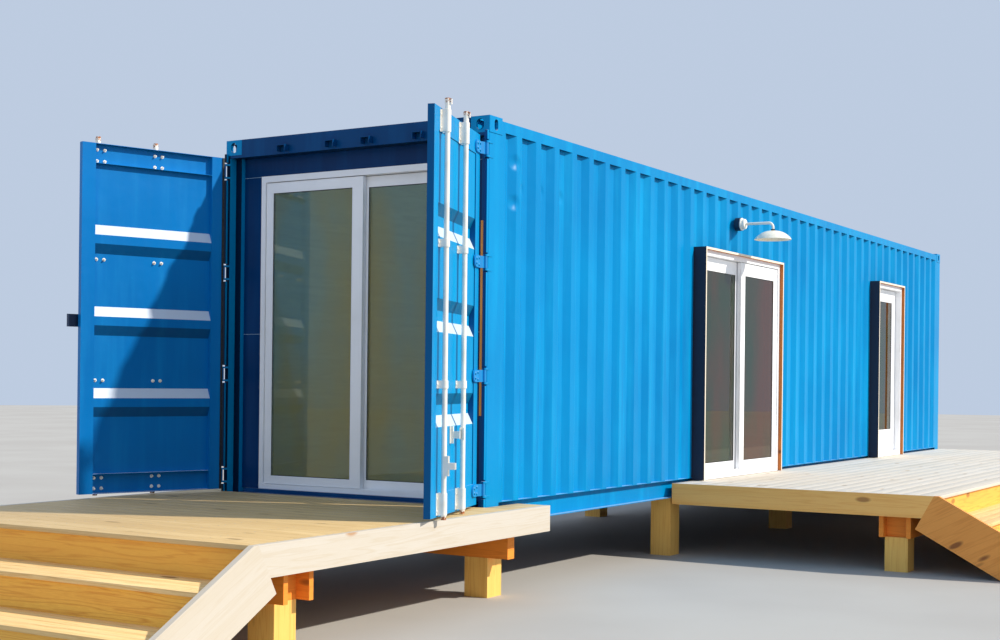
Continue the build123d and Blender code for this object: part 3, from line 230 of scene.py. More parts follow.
# Extruded white vinyl: even satin white, with faint die lines and a little grime.
def vinyl(name):
    finish, tree, shader, place = new_finish(name, 0.36)
    grime = cloudy(tree, place, 320, 5.0)
    lines = cloudy(tree, place, 6, 1.0, (1.0, 1.0, 0.01))
    tree.links.new(layered(tree, "#fafcff", "#e2e4e4", grime, 0.5, 0.85, 0.5), shader.inputs["Base Color"])
    raised(tree, shader, (lines, 0.25, 0.2))
    return finish


# Float glass: clear with the green of its iron, under a thin film of dust, and painted reflections: a pale
# green-yellow veil of foliage on the front panes, darker green and brown on the panes at the side.
def float_glass(name):
    finish, tree, shader, place = new_finish(name, 0.02)
    shader.inputs["Transmission Weight"].default_value = 0.84
    shader.inputs["IOR"].default_value = 1.5
    film = cloudy(tree, place, 700, 4.0, (1.0, 1.0, 0.4))
    # Painted reflections, pale on the front panes and dark green and brown on the side ones
    front = layered(tree, "#cdf0dc", "#eeeaa2", film, 0.4, 0.62)
    side = layered(tree, "#46663a", "#8a5226", film, 0.4, 0.62)
    sideways = add_node(tree, "ShaderNodeSeparateXYZ", {0: place}).outputs[0]
    wall = spot(1100, 0, 0).x
    tree.links.new(layered(tree, front, side, sideways, wall, wall + 0.01), shader.inputs["Base Color"])
    ramp = {0: film, 1: 0.45, 2: 0.8, 3: 0.0, 4: 0.05}
    tree.links.new(add_node(tree, "ShaderNodeMapRange", ramp).outputs[0], shader.inputs["Roughness"])
    return finish


def wood_colour(tree, tones, bands, bend, fibres, closeness, board_lot, rings, knots):
    """The colours of one timber: its wood, rings, knots and stain, laid over each other."""
    wood, ring, knot, stain = tones
    ringed = layered(tree, wood, ring, bands, 0.28, 0.5, rings)
    stained = layered(tree, ringed, stain, bend, 0.45, 0.65, 0.4)
    fine = layered(tree, stained, ring, fibres, 0.35, 0.7, rings * 0.5)
    knotted = layered(tree, fine, knot, closeness, 0.88, 0.93, knots)
    return layered(tree, knotted, stain, board_lot, 0.3, 1.0, 0.5)


# Sawn softwood: growth rings in long bands 6 to 12 mm apart, finer fibres, a few knots, and on every
# board a tint of its own, found from the pitch of the boards.
def softwood(name, tones, grain, boards=(2, 0.5, 0.0), rings=0.6, knots=0.8, rough=0.6, lay=None, other=None):
    """grain is 0, 1 or 2 for x, y or z; boards is their axis, pitch and start; other is a second timber."""
    finish, tree, shader, place = new_finish(name, rough)
    laid = place if lay is None else lay(tree, place)
    board_axis, pitch, start = boards
    across = add_node(tree, "ShaderNodeSeparateXYZ", {0: laid}).outputs[board_axis]
    sockets = {0: across, 1: start}
    offset = add_node(tree, "ShaderNodeMath", sockets, operation="SUBTRACT").outputs[0]
    count = add_node(tree, "ShaderNodeMath", {0: offset, 1: pitch}, operation="DIVIDE").outputs[0]
    board_number = add_node(tree, "ShaderNodeMath", {0: count}, operation="FLOOR").outputs[0]
    lot = add_node(tree, "ShaderNodeTexWhiteNoise", {"W": board_number}, noise_dimensions="1D")
    sockets = {0: lot.outputs["Color"], 1: (7.0, 7.0, 7.0), 2: laid}
    own = add_node(tree, "ShaderNodeVectorMath", sockets, operation="MULTIPLY_ADD").outputs[0]
    along = [1.0, 1.0, 1.0]
    along[grain] = 0.045
    bend = cloudy(tree, own, 80, 3.0, along)
    fibres = cloudy(tree, own, 2.4, 3.0, along)
    steep = add_node(tree, "ShaderNodeMath", {0: bend, 1: 9.0}, operation="MULTIPLY").outputs[0]
    bands = add_node(tree, "ShaderNodeMath", {0: steep, 1: 0.5}, operation="PINGPONG").outputs[0]
    along[grain] = 0.35
    knot_place = add_node(tree, "ShaderNodeMapping", {"Vector": own, "Scale": along}).outputs[0]
    cells = add_node(tree, "ShaderNodeTexVoronoi", {"Vector": knot_place, "Scale": 4.5}).outputs["Distance"]
    closeness = add_node(tree, "ShaderNodeMath", {0: 1.0, 1: cells}, operation="SUBTRACT").outputs[0]
    patterns = (bands, bend, fibres, closeness, lot.outputs["Value"], rings, knots)
    timber = wood_colour(tree, tones, *patterns)
    if other is not None:
        second_tones, where = other
        second = wood_colour(tree, second_tones, *patterns)
        timber = layered(tree, timber, second, where(tree, place), 0.4, 0.6)
    tree.links.new(timber, shader.inputs["Base Color"])
    raised(tree, shader, (bands, 0.8, 0.3), (fibres, 0.5, 0.4))
    return finish


# Painted light: faces that look forward take the warm honey tone the timber shows in shade, the others the
# pale bleached one
def shade_tone_on_front_faces(tree, place):
    normal = add_node(tree, "ShaderNodeNewGeometry").outputs["Normal"]
    sideways = add_node(tree, "ShaderNodeSeparateXYZ", {0: normal}).outputs[1]
    return add_node(tree, "ShaderNodeMath", {0: sideways, 1: -1.0}, operation="MULTIPLY").outputs[0]


# The side flight's cheek boards are oiled orange, the front flight's are bleached
def on_side_flight(tree, place):
    sideways = add_node(tree, "ShaderNodeSeparateXYZ", {0: place}).outputs[0]
    sockets = {0: sideways, 1: spot(3300, 0, 0).x}
    return add_node(tree, "ShaderNodeMath", sockets, operation="GREATER_THAN").outputs[0]


# Boards that run along the cabin show broad faces to the side and those that run across it show them
# to the front, so the grain is laid along whichever way a face runs.
def along_face(tree, place):
    normal = add_node(tree, "ShaderNodeNewGeometry").outputs["Normal"]
    sideways = add_node(tree, "ShaderNodeSeparateXYZ", {0: normal}).outputs[0]
    facing = add_node(tree, "ShaderNodeMath", {0: sideways}, operation="ABSOLUTE").outputs[0]
    share = add_node(tree, "ShaderNodeMath", {0: facing, 1: 0.6}, operation="GREATER_THAN").outputs[0]
    quarter = (0.0, 0.0, math.pi / 2)
    turned = add_node(tree, "ShaderNodeMapping", {"Vector": place, "Rotation": quarter}).outputs[0]
    sockets = {0: share, 4: place, 5: turned}
    return add_node(tree, "ShaderNodeMix", sockets, data_type="VECTOR").outputs[1]


# The cheek boards slope down with the stairs, to the front on one flight and to the side on the other,
# and their grain slopes with them.
def along_slope(tree, place):
    slope = math.atan(rise / run)
    forward = {"Vector": place, "Rotation": (-slope, 0.0, 0.0)}
    to_front = add_node(tree, "ShaderNodeMapping", forward).outputs[0]
    quarter = (0.0, 0.0, math.pi / 2)
    to_side = add_node(tree, "ShaderNodeMapping", {"Vector": place, "Rotation": (0.0, slope, 0.0)}).outputs[0]
    across = add_node(tree, "ShaderNodeMapping", {"Vector": to_side, "Rotation": quarter}).outputs[0]
    sockets = {0: on_side_flight(tree, place), 4: to_front, 5: across}
    return add_node(tree, "ShaderNodeMix", sockets, data_type="VECTOR").outputs[1]


# Boards boxed round an opening: navy paint outside, bare stained timber on the faces that look into
# the opening, and a pale front edge on the faces that look out from the wall.
def boxing(name, middle_y, middle_z):
    tones = ("#c8742a", "#9a5219", "#5c2e10", "#b3641f")
    finish = softwood(name, tones, 1, rings=0.5)
    tree = finish.node_tree
    shader = tree.nodes["Principled BSDF"]
    timber = shader.inputs["Base Color"].links[0].from_socket
    place = add_node(tree, "ShaderNodeTexCoord").outputs["Object"]
    normal = add_node(tree, "ShaderNodeNewGeometry").outputs["Normal"]
    middle = spot(0, middle_y, middle_z)
    inward = add_node(tree, "ShaderNodeVectorMath", {0: middle, 1: place}, operation="SUBTRACT").outputs[0]
    sockets = {0: inward, 1: (0.0, 1.0, 1.0)}
    flat = add_node(tree, "ShaderNodeVectorMath", sockets, operation="MULTIPLY").outputs[0]
    sockets = {0: normal, 1: flat}
    faces_in = add_node(tree, "ShaderNodeVectorMath", sockets, operation="DOT_PRODUCT").outputs["Value"]
    sideways = add_node(tree, "ShaderNodeSeparateXYZ", {0: normal}).outputs[0]
    painted = layered(tree, "#161d33", timber, faces_in, 0.0, 0.02)
    edged = layered(tree, painted, "#eadfca", sideways, 0.5, 0.6)
    tree.links.new(edged, shader.inputs["Base Color"])
    return finish


# Brass of the knob, gone brown where hands don't polish it.
def worn_brass(name):
    finish, tree, shader, place = new_finish(name, 0.3, 1.0)
    touch = cloudy(tree, place, 16)
    tree.links.new(layered(tree, "#c49a4a", "#7d5c2c", touch, 0.4, 0.7), shader.inputs["Base Color"])
    raised(tree, shader, (touch, 0.2, 0.3))
    return finish


# EPDM rubber of the seals: dull, nearly black, slightly chalky.
def rubber(name, tone="#16181b", chalky="#34373a"):
    finish, tree, shader, place = new_finish(name, 0.75)
    chalk = cloudy(tree, place, 11)
    tree.links.new(layered(tree, tone, chalky, chalk, 0.4, 0.8), shader.inputs["Base Color"])
    raised(tree, shader, (chalk, 0.4, 0.4))
    return finish


# Lamp: the bracket's round spacer, blue like the wall, is coloured dark navy as painted shade, and the rest
# is galvanised and white.
def bracket_paint(name):
    finish, tree, shader, place, paint = cream_paint(name)
    sideways = add_node(tree, "ShaderNodeSeparateXYZ", {0: place}).outputs[0]
    wall = spot(1268, 0, 0).x
    # Painted shade: the spacer next to the wall is dark navy
    tree.links.new(layered(tree, "#10203c", paint, sideways, wall, wall + 0.001), shader.inputs["Base Color"])
    return finish


# Spun steel shade in white stove enamel, smooth and glossy, with a dark collar where it is clamped.
def shade_enamel(name):
    finish, tree, shader, place = new_finish(name, 0.25)
    chips = cloudy(tree, place, 24, 5.0)
    height = add_node(tree, "ShaderNodeSeparateXYZ", {0: place}).outputs[2]
    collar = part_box("lamp_shade")[1].z - 0.016
    white = layered(tree, "#f1eee0", "#d8d2bd", chips, 0.45, 0.8, 0.6)
    clamped = layered(tree, white, "#20242b", height, collar, collar + 0.001)
    tree.links.new(clamped, shader.inputs["Base Color"])
    raised(tree, shader, (chips, 0.3, 0.15))
    return finish


wall_tones = ("#008eca", "#0080be", "#06a8de")
wall_enamel = enamel("bright_blue_enamel", *wall_tones, gloss=0.12)
# The posts and the right door's edge get painted shade on the faces that look forward
post_enamel = enamel("blue_enamel_of_posts", *wall_tones, gloss=0.12, painted_shade_tone="#014f8a")
edge_enamel = enamel("blue_enamel_of_right_door", *wall_tones, gloss=0.12, painted_shade_tone="#01558f")
# On the cargo door panels the slopes that face up are made nearly white: mostly a painted sun glint on the
# ribs
ribbed_enamel = enamel("blue_enamel_of_right_panel", "#0090ca", "#0086c0", "#06aade", dust_and_glint=0.9, gloss=0.12)
# The left door's enamel is a deeper blue than the wall's: painted shade
shaded_enamel = enamel("blue_enamel_of_left_door_painted_shade", "#0075c0", "#006ab2", "#0288cc", dust_and_glint=0.9, gloss=0.2)
# The header and the front wall are given deeper blues than the long wall: painted shade on the front
header_enamel_painted_shade = enamel("header_enamel_painted_shade", "#01467c", "#013d70", "#045890", dust_and_glint=0.1, gloss=0.15)
infill_enamel_painted_shade = enamel("front_wall_enamel_painted_shade", "#01376c", "#012d5a", "#034780", dust_and_glint=0.1, gloss=0.15)
cream_rod = rod_paint("cream_rod_paint")
# The left hinge blades take the left door's deeper blue, painted shade
left_fittings = fittings_paint("left_fittings_paint", "left", "#0075c0")
right_fittings = fittings_paint("right_fittings_paint", "right", "#0088cc")
zinc = galvanised("galvanised_steel")
bracket = bracket_paint("lamp_bracket_paint")
shade = shade_enamel("white_stove_enamel")
white_vinyl = vinyl("white_vinyl")
glass = float_glass("float_glass_with_painted_reflections")
brass = worn_brass("worn_brass")
seal = rubber("black_rubber")
seam_sealant = rubber("blue_grey_sealant", "#7f9fbd", "#94afc8")

front_edge = spot(0, deck_front, 0).y
near_tones = ("#dcc08c", "#b8955c", "#73552f", "#c7a873")
near_planks = softwood("weathered_pine_across", near_tones, 0, (1, 0.145, front_edge))
far_tones = ("#dad2c6", "#c4b9a4", "#a2855c", "#cdc3b2")
far_planks = softwood("bleached_pine_along", far_tones, 1, (0, 0.1433, spot(beside_wall, 0, 0).x), 0.4)
tread_tones = ("#f6d79c", "#c79850", "#6d4420", "#e2bb78")
front_tread_wood = softwood("pine_treads_across", tread_tones, 0, (1, 0.102, front_edge))
side_tread_wood = softwood("pine_treads_along", tread_tones, 1, (0, 0.102, spot(3550, 0, 0).x))
riser_tones = ("#ffcc58", "#dc9434", "#6e3410", "#f4b048")
riser_wood = softwood("oiled_pine_risers", riser_tones, 0, (2, 0.206, 0.0), 0.8, 1.0, lay=along_face)
fascia_tones = ("#cdc6ba", "#bfb096", "#b27a3c", "#c6baa5")
# The warm tone painted on forward faces of the fascia, standing in for its look in shade
front_face_shade_tones = ("#ffc46c", "#ec9f48", "#8a5020", "#f7b256")
fascia_wood = softwood(
    "pine_fascia", fascia_tones, 0, rings=0.45, knots=0.7, lay=along_face, other=(front_face_shade_tones, shade_tone_on_front_faces)
)
oiled_tones = ("#ee9f48", "#cc7a28", "#70380f", "#dc8c38")
cheek_wood = softwood(
    "pine_cheeks", fascia_tones, 1, rings=0.4, knots=0.8, lay=along_slope, other=(oiled_tones, on_side_flight)
)
beam_tones = ("#ff9c34", "#e07a1a", "#6d3a12", "#f08a26")
beam_wood = softwood("oiled_pine_beams", beam_tones, 0, rough=0.7, lay=along_face)
joist_tones = ("#c98f3c", "#a46a20", "#5e3a16", "#b57c30")
joist_wood = softwood("treated_pine_joists", joist_tones, 1, rough=0.7)
post_tones = ("#ffd070", "#e6a64a", "#8a5a26", "#f6ba5c")
post_wood = softwood("treated_pine_posts", post_tones, 2, rough=0.75)
strip_tones = ("#ffae50", "#dc8834", "#6d3a12", "#ee9c40")
strip_wood = softwood("stained_pine_strip", strip_tones, 2, rings=0.5)
lining_tones = ("#dcc08c", "#c2a06c", "#8e6a3c", "#cdb07c")
lining_wood = softwood("birch_boards", lining_tones, 1, (2, 0.14, 0.0), 0.5, 0.3, 0.5)
floor_tones = ("#a0703f", "#7e5430", "#4a2d18", "#8a6036")
floor_wood = softwood("sealed_plywood_floor", floor_tones, 1, (0, 0.3, 0.0), 0.6, 0.3, 0.35)
wide_boxing = boxing("wide_door_boxing", 4572, 1210)
narrow_boxing = boxing("narrow_door_boxing", 9464, 1228)

# The finish of each CAD solid
finish_of = {
    "bottom_side_rails": wall_enamel,
    "casting_bearings": zinc,
    "ceiling_lining": lining_wood,
    "corner_castings": wall_enamel,
    "corner_posts": post_enamel,
    "deck_beams": beam_wood,
    "deck_fascia": fascia_wood,
    "deck_joists": joist_wood,
    "end_rails": header_enamel_painted_shade,
    "fixed_glass": glass,
    "fixed_sash": white_vinyl,
    "floor": floor_wood,
    "floor_cross_members": infill_enamel_painted_shade,
    "front_door_frame": white_vinyl,
    "front_door_sliding_glass": glass,
    "front_door_sliding_sash": white_vinyl,
    "front_infill": infill_enamel_painted_shade,
    "jamb_batten": strip_wood,
    "lamp_bracket": bracket,
    "lamp_shade": shade,
    "left_cargo_door_fittings": left_fittings,
    "left_cargo_door_frame": shaded_enamel,
    "left_cargo_door_panel": shaded_enamel,
    "left_inner_rod": cream_rod,
    "left_outer_rod": cream_rod,
    "left_wall": wall_enamel,
    "narrow_door_fittings": brass,
    "narrow_door_frame": white_vinyl,
    "narrow_door_glass": glass,
    "narrow_door_leaf": white_vinyl,
    "narrow_surround": narrow_boxing,
    "rear_wall": wall_enamel,
    "right_cargo_door_fittings": right_fittings,
    "right_cargo_door_frame": edge_enamel,
    "right_cargo_door_panel": ribbed_enamel,
    "right_inner_rod": cream_rod,
    "right_outer_rod": cream_rod,
    "right_wall_front": wall_enamel,
    "right_wall_middle": wall_enamel,
    "right_wall_over_doors": wall_enamel,
    "right_wall_rear": wall_enamel,
    "rod_keepers": header_enamel_painted_shade,
    "roof": wall_enamel,
    "stair_cheeks": cheek_wood,
    "stair_risers": riser_wood,
    "support_posts": post_wood,
    "top_side_rails": wall_enamel,
    "wall_lining": lining_wood,
    "wide_door_frame": white_vinyl,
    "wide_door_sliding_glass": glass,
    "wide_door_sliding_sash": white_vinyl,
    "wide_surround": wide_boxing,
    "deck_boards": near_planks,
    "stair_treads": front_tread_wood,
}
for name, finish in finish_of.items():
    nodes[name].data.materials.clear()
    nodes[name].data.materials.append(finish)


def box_piece(name, low, high):
    """A box between two corners of the container, in edit mode with all of it selected."""
    bpy.ops.object.select_all(action="DESELECT")
    bpy.ops.mesh.primitive_cube_add(size=1.0, location=(spot(*low) + spot(*high)) / 2)
    piece = bpy.context.object
    piece.name = name
    piece.scale = [(b - a) / 1000 for a, b in zip(low, high)]
    bpy.ops.object.transform_apply(location=True, rotation=True, scale=True)
    bpy.ops.object.mode_set(mode="EDIT")
    bpy.ops.mesh.select_all(action="SELECT")
    return piece


def board(name, low, high, edge=3.0):
    """One board with its long edges and its ends eased."""
    piece = box_piece(name, low, high)
    bpy.ops.mesh.bevel(offset=edge / 1000, segments=2, affect="EDGES")
    bpy.ops.object.mode_set(mode="OBJECT")
    bpy.ops.object.shade_smooth_by_angle(angle=math.radians(35))
    return piece


def copied(piece, places):
    """Copies of a piece with meshes of their own, each put in its place by a shift in mm or a matrix."""
    made = []
    for number, place in enumerate(places, 1):
        twin = piece.copy()
        twin.data = piece.data.copy()
        twin.name = f"{piece.name}_{number}"
        shift = place if isinstance(place, Matrix) else Matrix.Translation(Vector(place) / 1000)
        twin.data.transform(shift)
        bpy.context.scene.collection.objects.link(twin)
        made.append(twin)
    return made


def joined(pieces, name, finish, body="cabin"):
    """One object of several pieces, with its finish, riding on its body."""
    bpy.ops.object.select_all(action="DESELECT")
    for piece in pieces:
        piece.select_set(True)
    bpy.context.view_layer.objects.active = pieces[0]
    bpy.ops.object.join()
    whole = bpy.context.object
    whole.name = name
    whole.data.name = name
    whole.data.materials.clear()
    whole.data.materials.append(finish)
    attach(whole, body)
    return whole


# Front deck: 19 boards across the cabin with 5 mm gaps, and short ones beside the container's corners
gap, board_width = 5.0, 140.0
pitch = board_width + gap
low, high = (-deck_half, deck_front, deck_low), (deck_half, deck_front + board_width, deck_high)
first = board("front_deck_board", low, high)
planks = [first] + copied(first, [(0, number * pitch, 0) for number in range(1, 19)])
strip = board("strip_board", (beside_wall, 0, deck_low), (deck_half, board_width, deck_high))
across = -(beside_wall + deck_half)
shifts = [(shift, number * pitch, 0) for shift in (0, across) for number in range(3)]
planks += [strip] + copied(strip, shifts[1:])
front_boards = joined(planks, "front_deck_boards", near_planks)

# Side deck: 16 rows of boards along the cabin, their butt joints staggered from row to row, and one
# board at the head of the stairs
side_start, side_end, stair_end, side_edge = 3168, 12154, 6168, 3550
row_pitch = (3512 - beside_wall + gap) / 16
planks = []
for row, joint in ((0, 7138), (1, 8968)):
    low_x = beside_wall + row * row_pitch
    high_x = low_x + row_pitch - gap
    for near, far in ((side_start, joint - 1), (joint + 1, side_end)):
        name = f"side_deck_board_{row}_{near}"
        plank = board(name, (low_x, near, deck_low), (high_x, far, deck_high))
        planks += [plank] + copied(plank, [(number * 2 * row_pitch, 0, 0) for number in range(1, 8)])
planks.append(board("side_deck_edge_board", (3517, side_start, deck_low), (side_edge, stair_end, deck_high)))
side_boards = joined(planks, "side_deck_boards", far_planks)
for boards in (front_boards, side_boards):
    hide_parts("deck_boards")


def flight(name, slat_box, back_box, slat_shift, step_shift, finish):
    """The treads of one flight: three narrow boards and a back one, then the same a step further down."""
    slat_board = board(f"{name}_slat", *slat_box, 4.0)
    back_board = board(f"{name}_back", *back_box, 4.0)
    further = [part * 2 for part in slat_shift]
    step = [slat_board] + copied(slat_board, [slat_shift, further]) + [back_board]
    lower_step = [copied(piece, [step_shift])[0] for piece in step]
    whole = joined(step + lower_step, name, finish)
    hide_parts("stair_treads")


# Treads, whose rounded edges catch the light
slat, slat_pitch, back_near, back_far, tread_thickness = 98.0, 102.0, 306, 405, 28
top = deck_high - rise
under = top - tread_thickness
front = deck_front - run
slat_box = (-deck_half, front, under), (deck_half, front + slat, top)
back_box = (-deck_half, front + back_near, under), (deck_half, front + back_far, top)
flight("front_stair_treads", slat_box, back_box, (0, slat_pitch, 0), (0, -run, -rise), front_tread_wood)
outer = side_edge + run
slat_box = (outer - slat, side_start, under), (outer, stair_end, top)
back_box = (outer - back_far, side_start, under), (outer - back_near, stair_end, top)
flight("side_stair_treads", slat_box, back_box, (-slat_pitch, 0, 0), (run, 0, -rise), side_tread_wood)


def round_start(name, radius, depth, sides):
    """A short upright cylinder on the frame's origin, in edit mode with its top face selected."""
    bpy.ops.object.select_all(action="DESELECT")
    size = {"radius": radius / 1000, "depth": depth / 1000, "location": (0, 0, depth / 2000)}
    bpy.ops.mesh.primitive_cylinder_add(vertices=sides, **size)
    piece = bpy.context.object
    piece.name = name
    bpy.ops.object.transform_apply(location=True, rotation=True, scale=True)
    bpy.ops.object.mode_set(mode="EDIT")
    bpy.ops.mesh.select_mode(type="FACE")
    bpy.ops.mesh.select_all(action="DESELECT")
    bpy.ops.object.mode_set(mode="OBJECT")
    for face in piece.data.polygons:
        face.select = face.normal.z > 0.9
    bpy.ops.object.mode_set(mode="EDIT")
    return piece


# Deck screws: countersunk heads 9 mm across with a hollow drive, two at each joist
screw = round_start("deck_screw", 4.5, 1.0, 8)
bpy.ops.mesh.inset(thickness=0.0022)
bpy.ops.mesh.extrude_region_move(TRANSFORM_OT_translate={"value": (0, 0, -0.0008)})
bpy.ops.object.mode_set(mode="OBJECT")
screw_inset, screw_low = 28, deck_high - 0.6
board_lines = [deck_front + number * pitch for number in range(19)]
screw_lines = [line + inset for line in board_lines for inset in (screw_inset, board_width - screw_inset)]
front_joists = [-1433 + number * 2866 / 7 for number in range(8)]
screw_places = [(joist, line, screw_low) for line in screw_lines for joist in front_joists]
row_lines = [beside_wall + row * row_pitch for row in range(16)]
far_inset = row_pitch - gap - screw_inset
screw_lines = [line + inset for line in row_lines for inset in (screw_inset, far_inset)]
side_joists = [3187 + number * 8948 / 14 for number in range(15)]
screw_places += [(line, joist, screw_low) for line in screw_lines for joist in side_joists]
screws = copied(screw, [Matrix.Translation(spot(*place)) for place in screw_places])
bpy.data.objects.remove(screw)
joined(screws, "deck_screws", zinc)


def on_leaf(leaf, along, back, height):
    """A point of a cargo door as it stands, along it from the hinge pin and back from its rods' side."""
    swing = swing_of[leaf]
    across = along * math.cos(swing) + back * math.sin(swing)
    inward = pin_y - along * math.sin(swing) + back * math.cos(swing)
    return spot(side_of[leaf] * (pin_x - across), inward, height)


# Bolts of the cargo doors: hexagon heads in front, and behind each a washer, a nut and the bolt's end
head = round_start("bolt_head", 7.0, 3.0, 6)
bpy.ops.mesh.extrude_region_move(TRANSFORM_OT_translate={"value": (0, 0, 0.0015)})
bpy.ops.transform.resize(value=(0.8, 0.8, 1.0), center_override=(0, 0, 0.0045))
bpy.ops.object.mode_set(mode="OBJECT")
nut = round_start("bolt_nut", 13.0, 2.0, 16)
bpy.ops.mesh.inset(thickness=0.004)
bpy.ops.mesh.extrude_region_move(TRANSFORM_OT_translate={"value": (0, 0, 0.007)})
bpy.ops.mesh.inset(thickness=0.003)
bpy.ops.mesh.extrude_region_move(TRANSFORM_OT_translate={"value": (0, 0, 0.012)})
bpy.ops.mesh.inset(thickness=0.0015)
bpy.ops.mesh.extrude_region_move(TRANSFORM_OT_translate={"value": (0, 0, 0.002)})
bpy.ops.object.mode_set(mode="OBJECT")
# Heights of the rods' straps and end blocks, each with how far back the head and the nut sit
seats = [(height, 39, 46) for height in (1005, 1895)]
seats += [(height, 33, 42) for height in (208, 286, 2618, 2702)]
rod_places, hinge_heights = (584, 1046), (270, 1065, 1860, 2655)
blade_holes = ((85, -24), (85, 24), (150, -16), (150, 16))
# The left hinge bolts take the left door's deeper, painted-shade enamel
for leaf, blade_finish in (("left", shaded_enamel), ("right", wall_enamel)):
    swing = swing_of[leaf]
    facing = Vector((side_of[leaf] * math.sin(swing), -math.cos(swing), 0))
    outward = facing.to_track_quat("Z", "Y").to_matrix().to_4x4()
    inward = (-facing).to_track_quat("Z", "Y").to_matrix().to_4x4()
    heads, nuts, blade_heads = [], [], []
    for along in (place + reach for place in rod_places for reach in (-30, 30)):
        for height, front, behind in seats:
            heads.append(Matrix.Translation(on_leaf(leaf, along, front, height)) @ outward)
            nuts.append(Matrix.Translation(on_leaf(leaf, along, behind, height)) @ inward)
    for height in hinge_heights:
        for along, lift in blade_holes:
            shown = on_leaf(leaf, along, 26, height + lift)
            blade_heads.append(Matrix.Translation(shown) @ outward @ Matrix.Scale(1.3, 4))
    bolts = copied(head, heads) + copied(nut, nuts)
    joined(bolts, f"{leaf}_door_bolts", cream_rod, f"{leaf}_cargo_door")
    joined(copied(head, blade_heads), f"{leaf}_hinge_bolts", blade_finish, f"{leaf}_cargo_door")
for pattern in (head, nut):
    bpy.data.objects.remove(pattern)


def ring(name, low, high, axis, width, finish, body):
    """A frame of four strips round an opening, open along the axis."""
    piece = box_piece(name, low, high)
    bpy.ops.mesh.select_mode(type="FACE")
    bpy.ops.mesh.select_all(action="DESELECT")
    bpy.ops.object.mode_set(mode="OBJECT")
    for face in piece.data.polygons:
        face.select = abs(face.normal[axis]) > 0.9
    bpy.ops.object.mode_set(mode="EDIT")
    bpy.ops.mesh.inset(thickness=width / 1000, use_individual=True)
    bpy.ops.mesh.bridge_edge_loops()
    bpy.ops.mesh.select_all(action="SELECT")
    bpy.ops.mesh.bevel(offset=min(width, 6.0) / 5000, segments=2, affect="EDGES")
    bpy.ops.mesh.normals_make_consistent(inside=False)
    bpy.ops.object.mode_set(mode="OBJECT")
    bpy.ops.object.shade_smooth_by_angle(angle=math.radians(35))
    return joined([piece], name, finish, body)


def pane_corners(node, in_side_wall):
    """Lowest and highest corner of one pane in a node, in millimetres, in the front wall or the long one."""
    points = [(vertex.co - container_origin) * 1000 for vertex in nodes[node].data.vertices]
    kept = [point for point in points if (point.x > 1100) == in_side_wall]
    lowest = [min(point[axis] for point in kept) for axis in range(3)]
    highest = [max(point[axis] for point in kept) for axis in range(3)]
    return lowest, highest


# Glazing: a white bead with a thin dark gasket round every pane, outside and inside
panes = (
    ("fixed_glass", False, 1, "front_fixed", "cabin"),
    ("front_door_sliding_glass", False, 1, "front_sliding", "front_sliding_panel"),
    ("fixed_glass", True, 0, "wide_fixed", "cabin"),
    ("wide_door_sliding_glass", True, 0, "wide_sliding", "wide_sliding_panel"),
    ("narrow_door_glass", True, 0, "narrow_door", "narrow_door"),
)
for node, in_side_wall, axis, name, body in panes:
    lowest, highest = pane_corners(node, in_side_wall)
    for face, out in (("low", -1), ("high", 1)):
        at = lowest[axis] if out < 0 else highest[axis]
        for kind, deep, width, finish in (("gasket", 3.0, 15.0, seal), ("bead", 7.0, 11.0, white_vinyl)):
            low, high = list(lowest), list(highest)
            low[axis], high[axis] = sorted((at, at + out * deep))
            ring(f"{name}_{kind}_{face}", low, high, axis, width, finish, body)

# Sealant beads where the sheets of the front wall meet, left and right of the door
bead = board("sheet_joint", (-1113, 107, 1377), (-937, 112, 1381), 1.5)
beads = [bead] + copied(bead, [(2050, 0, 0), (0, 0, 1229), (2050, 0, 1229)])
joined(beads, "front_wall_sealant", seam_sealant)

# Rubber along the hinge edge of both cargo doors, left out on the right one where it would meet the
# batten on the post when the door is shut
for leaf, lengths in (("left", ((172, 2743),)), ("right", ((172, 776), (2173, 2743)))):
    swing, side = swing_of[leaf], side_of[leaf]
    away = Vector((-side * math.cos(swing), -math.sin(swing), 0))
    behind = Vector((-side * math.sin(swing), math.cos(swing), 0))
    turn = Matrix((away, behind, Vector((0, 0, 1)))).transposed().to_4x4()
    start = on_leaf(leaf, 46, 83, 0)
    onto_leaf = Matrix.Translation(start) @ turn @ Matrix.Translation(-spot(0, 0, 0))
    edge_strips = [board(f"edge_strip_{low}", (0, 0, low), (18, 8, high), 2.5) for low, high in lengths]
    for piece in edge_strips:
        piece.data.transform(onto_leaf)
    joined(edge_strips, f"{leaf}_door_edge_rubber", seal, f"{leaf}_cargo_door")
    bpy.ops.object.mode_set(mode="EDIT")
    bpy.ops.mesh.select_all(action="SELECT")
    bpy.ops.mesh.normals_make_consistent(inside=False)
    bpy.ops.object.mode_set(mode="OBJECT")

# Painted strips in front of the door posts, between the hinges, that close the gap behind the doors
strips = []
for low, high in ((125, 202), (338, 996), (1134, 1791), (1929, 2586), (2724, 2790)):
    strip = board(f"gap_strip_{low}", (-1214, -22, low), (-1192, -0.3, high), 2.0)
    strips += [strip] + copied(strip, [(2406, 0, 0)])
joined(strips, "hinge_gap_strips", post_enamel)

# Lamp holder under the shade
holder = round_start("lamp_holder", 19.0, 26.0, 24)
bpy.ops.mesh.inset(thickness=0.004)
bpy.ops.mesh.extrude_region_move(TRANSFORM_OT_translate={"value": (0, 0, -0.006)})
bpy.ops.object.mode_set(mode="OBJECT")
bpy.ops.object.shade_smooth_by_angle(angle=math.radians(35))
shade_low, shade_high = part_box("lamp_shade")
lamp_middle = (shade_low + shade_high) / 2
lamp_middle.z = shade_high.z - 0.045
holder.data.transform(Matrix.Translation(lamp_middle))
joined([holder], "lamp_holder", seal)

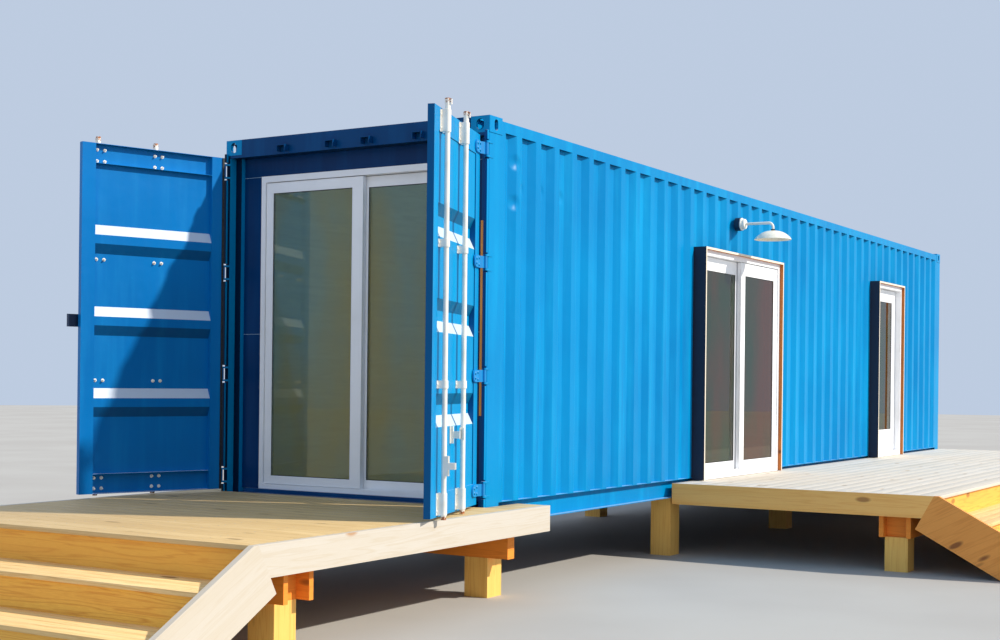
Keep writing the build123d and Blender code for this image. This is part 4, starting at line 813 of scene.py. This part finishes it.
# Pale studio floor
bpy.ops.object.select_all(action="DESELECT")
bpy.ops.mesh.primitive_circle_add(vertices=64, radius=70.0, fill_type="NGON")
studio_floor = bpy.context.object
studio_floor.name = "studio_floor"
bpy.ops.object.mode_set(mode="EDIT")
bpy.ops.mesh.select_all(action="SELECT")
bpy.ops.mesh.inset(thickness=30.0)
bpy.ops.object.mode_set(mode="OBJECT")
# Matt floor paint, plain and pale
paint, tree, shader, place = new_finish("matt_floor_paint", 0.85)
patches = cloudy(tree, place, 2500)
tree.links.new(layered(tree, "#b3b1ac", "#adaaa5", patches, 0.4, 0.6), shader.inputs["Base Color"])
studio_floor.data.materials.append(paint)

# Sun from the right and behind, as in the photograph, with an even pale sky
world = bpy.data.worlds.new("pale_studio")
bpy.context.scene.world = world
world.use_nodes = True
world.node_tree.nodes["Background"].inputs["Color"].default_value = colour("#d5e5fc")
world.node_tree.nodes["Background"].inputs["Strength"].default_value = 0.77

sun_data = bpy.data.lights.new("key_light", "SUN")
sun_data.energy = 4.5
sun_data.angle = math.radians(1.5)
sun_data.color = colour("#fff6e8")[:3]
sun = bpy.data.objects.new("key_light", sun_data)
sun.rotation_mode = "QUATERNION"
sun.rotation_quaternion = Vector((-0.74, -0.29, -0.61)).to_track_quat("-Z", "Y")
bpy.context.scene.collection.objects.link(sun)

# Camera where the photograph was taken from, turned and very slightly rolled as it was
camera_data = bpy.data.cameras.new("photograph_view")
camera_data.sensor_width = 36.0
camera_data.lens = 52.24
camera_data.shift_y = 0.0619
camera_data.clip_end = 300.0
camera = bpy.data.objects.new("photograph_view", camera_data)
bpy.context.scene.collection.objects.link(camera)
heading = math.radians(-31.2035)
roll = math.radians(0.6216)
ahead = Vector((math.sin(heading), math.cos(heading), 0))
level_right = Vector((math.cos(heading), -math.sin(heading), 0))
upright = Vector((0, 0, 1))
right = level_right * math.cos(roll) + upright * math.sin(roll)
above = upright * math.cos(roll) - level_right * math.sin(roll)
turn = Matrix((right, above, -ahead)).transposed()
camera.matrix_world = Matrix.Translation(spot(6560.7, -8644.4, 1025.2)) @ turn.to_4x4()
bpy.context.scene.camera = camera
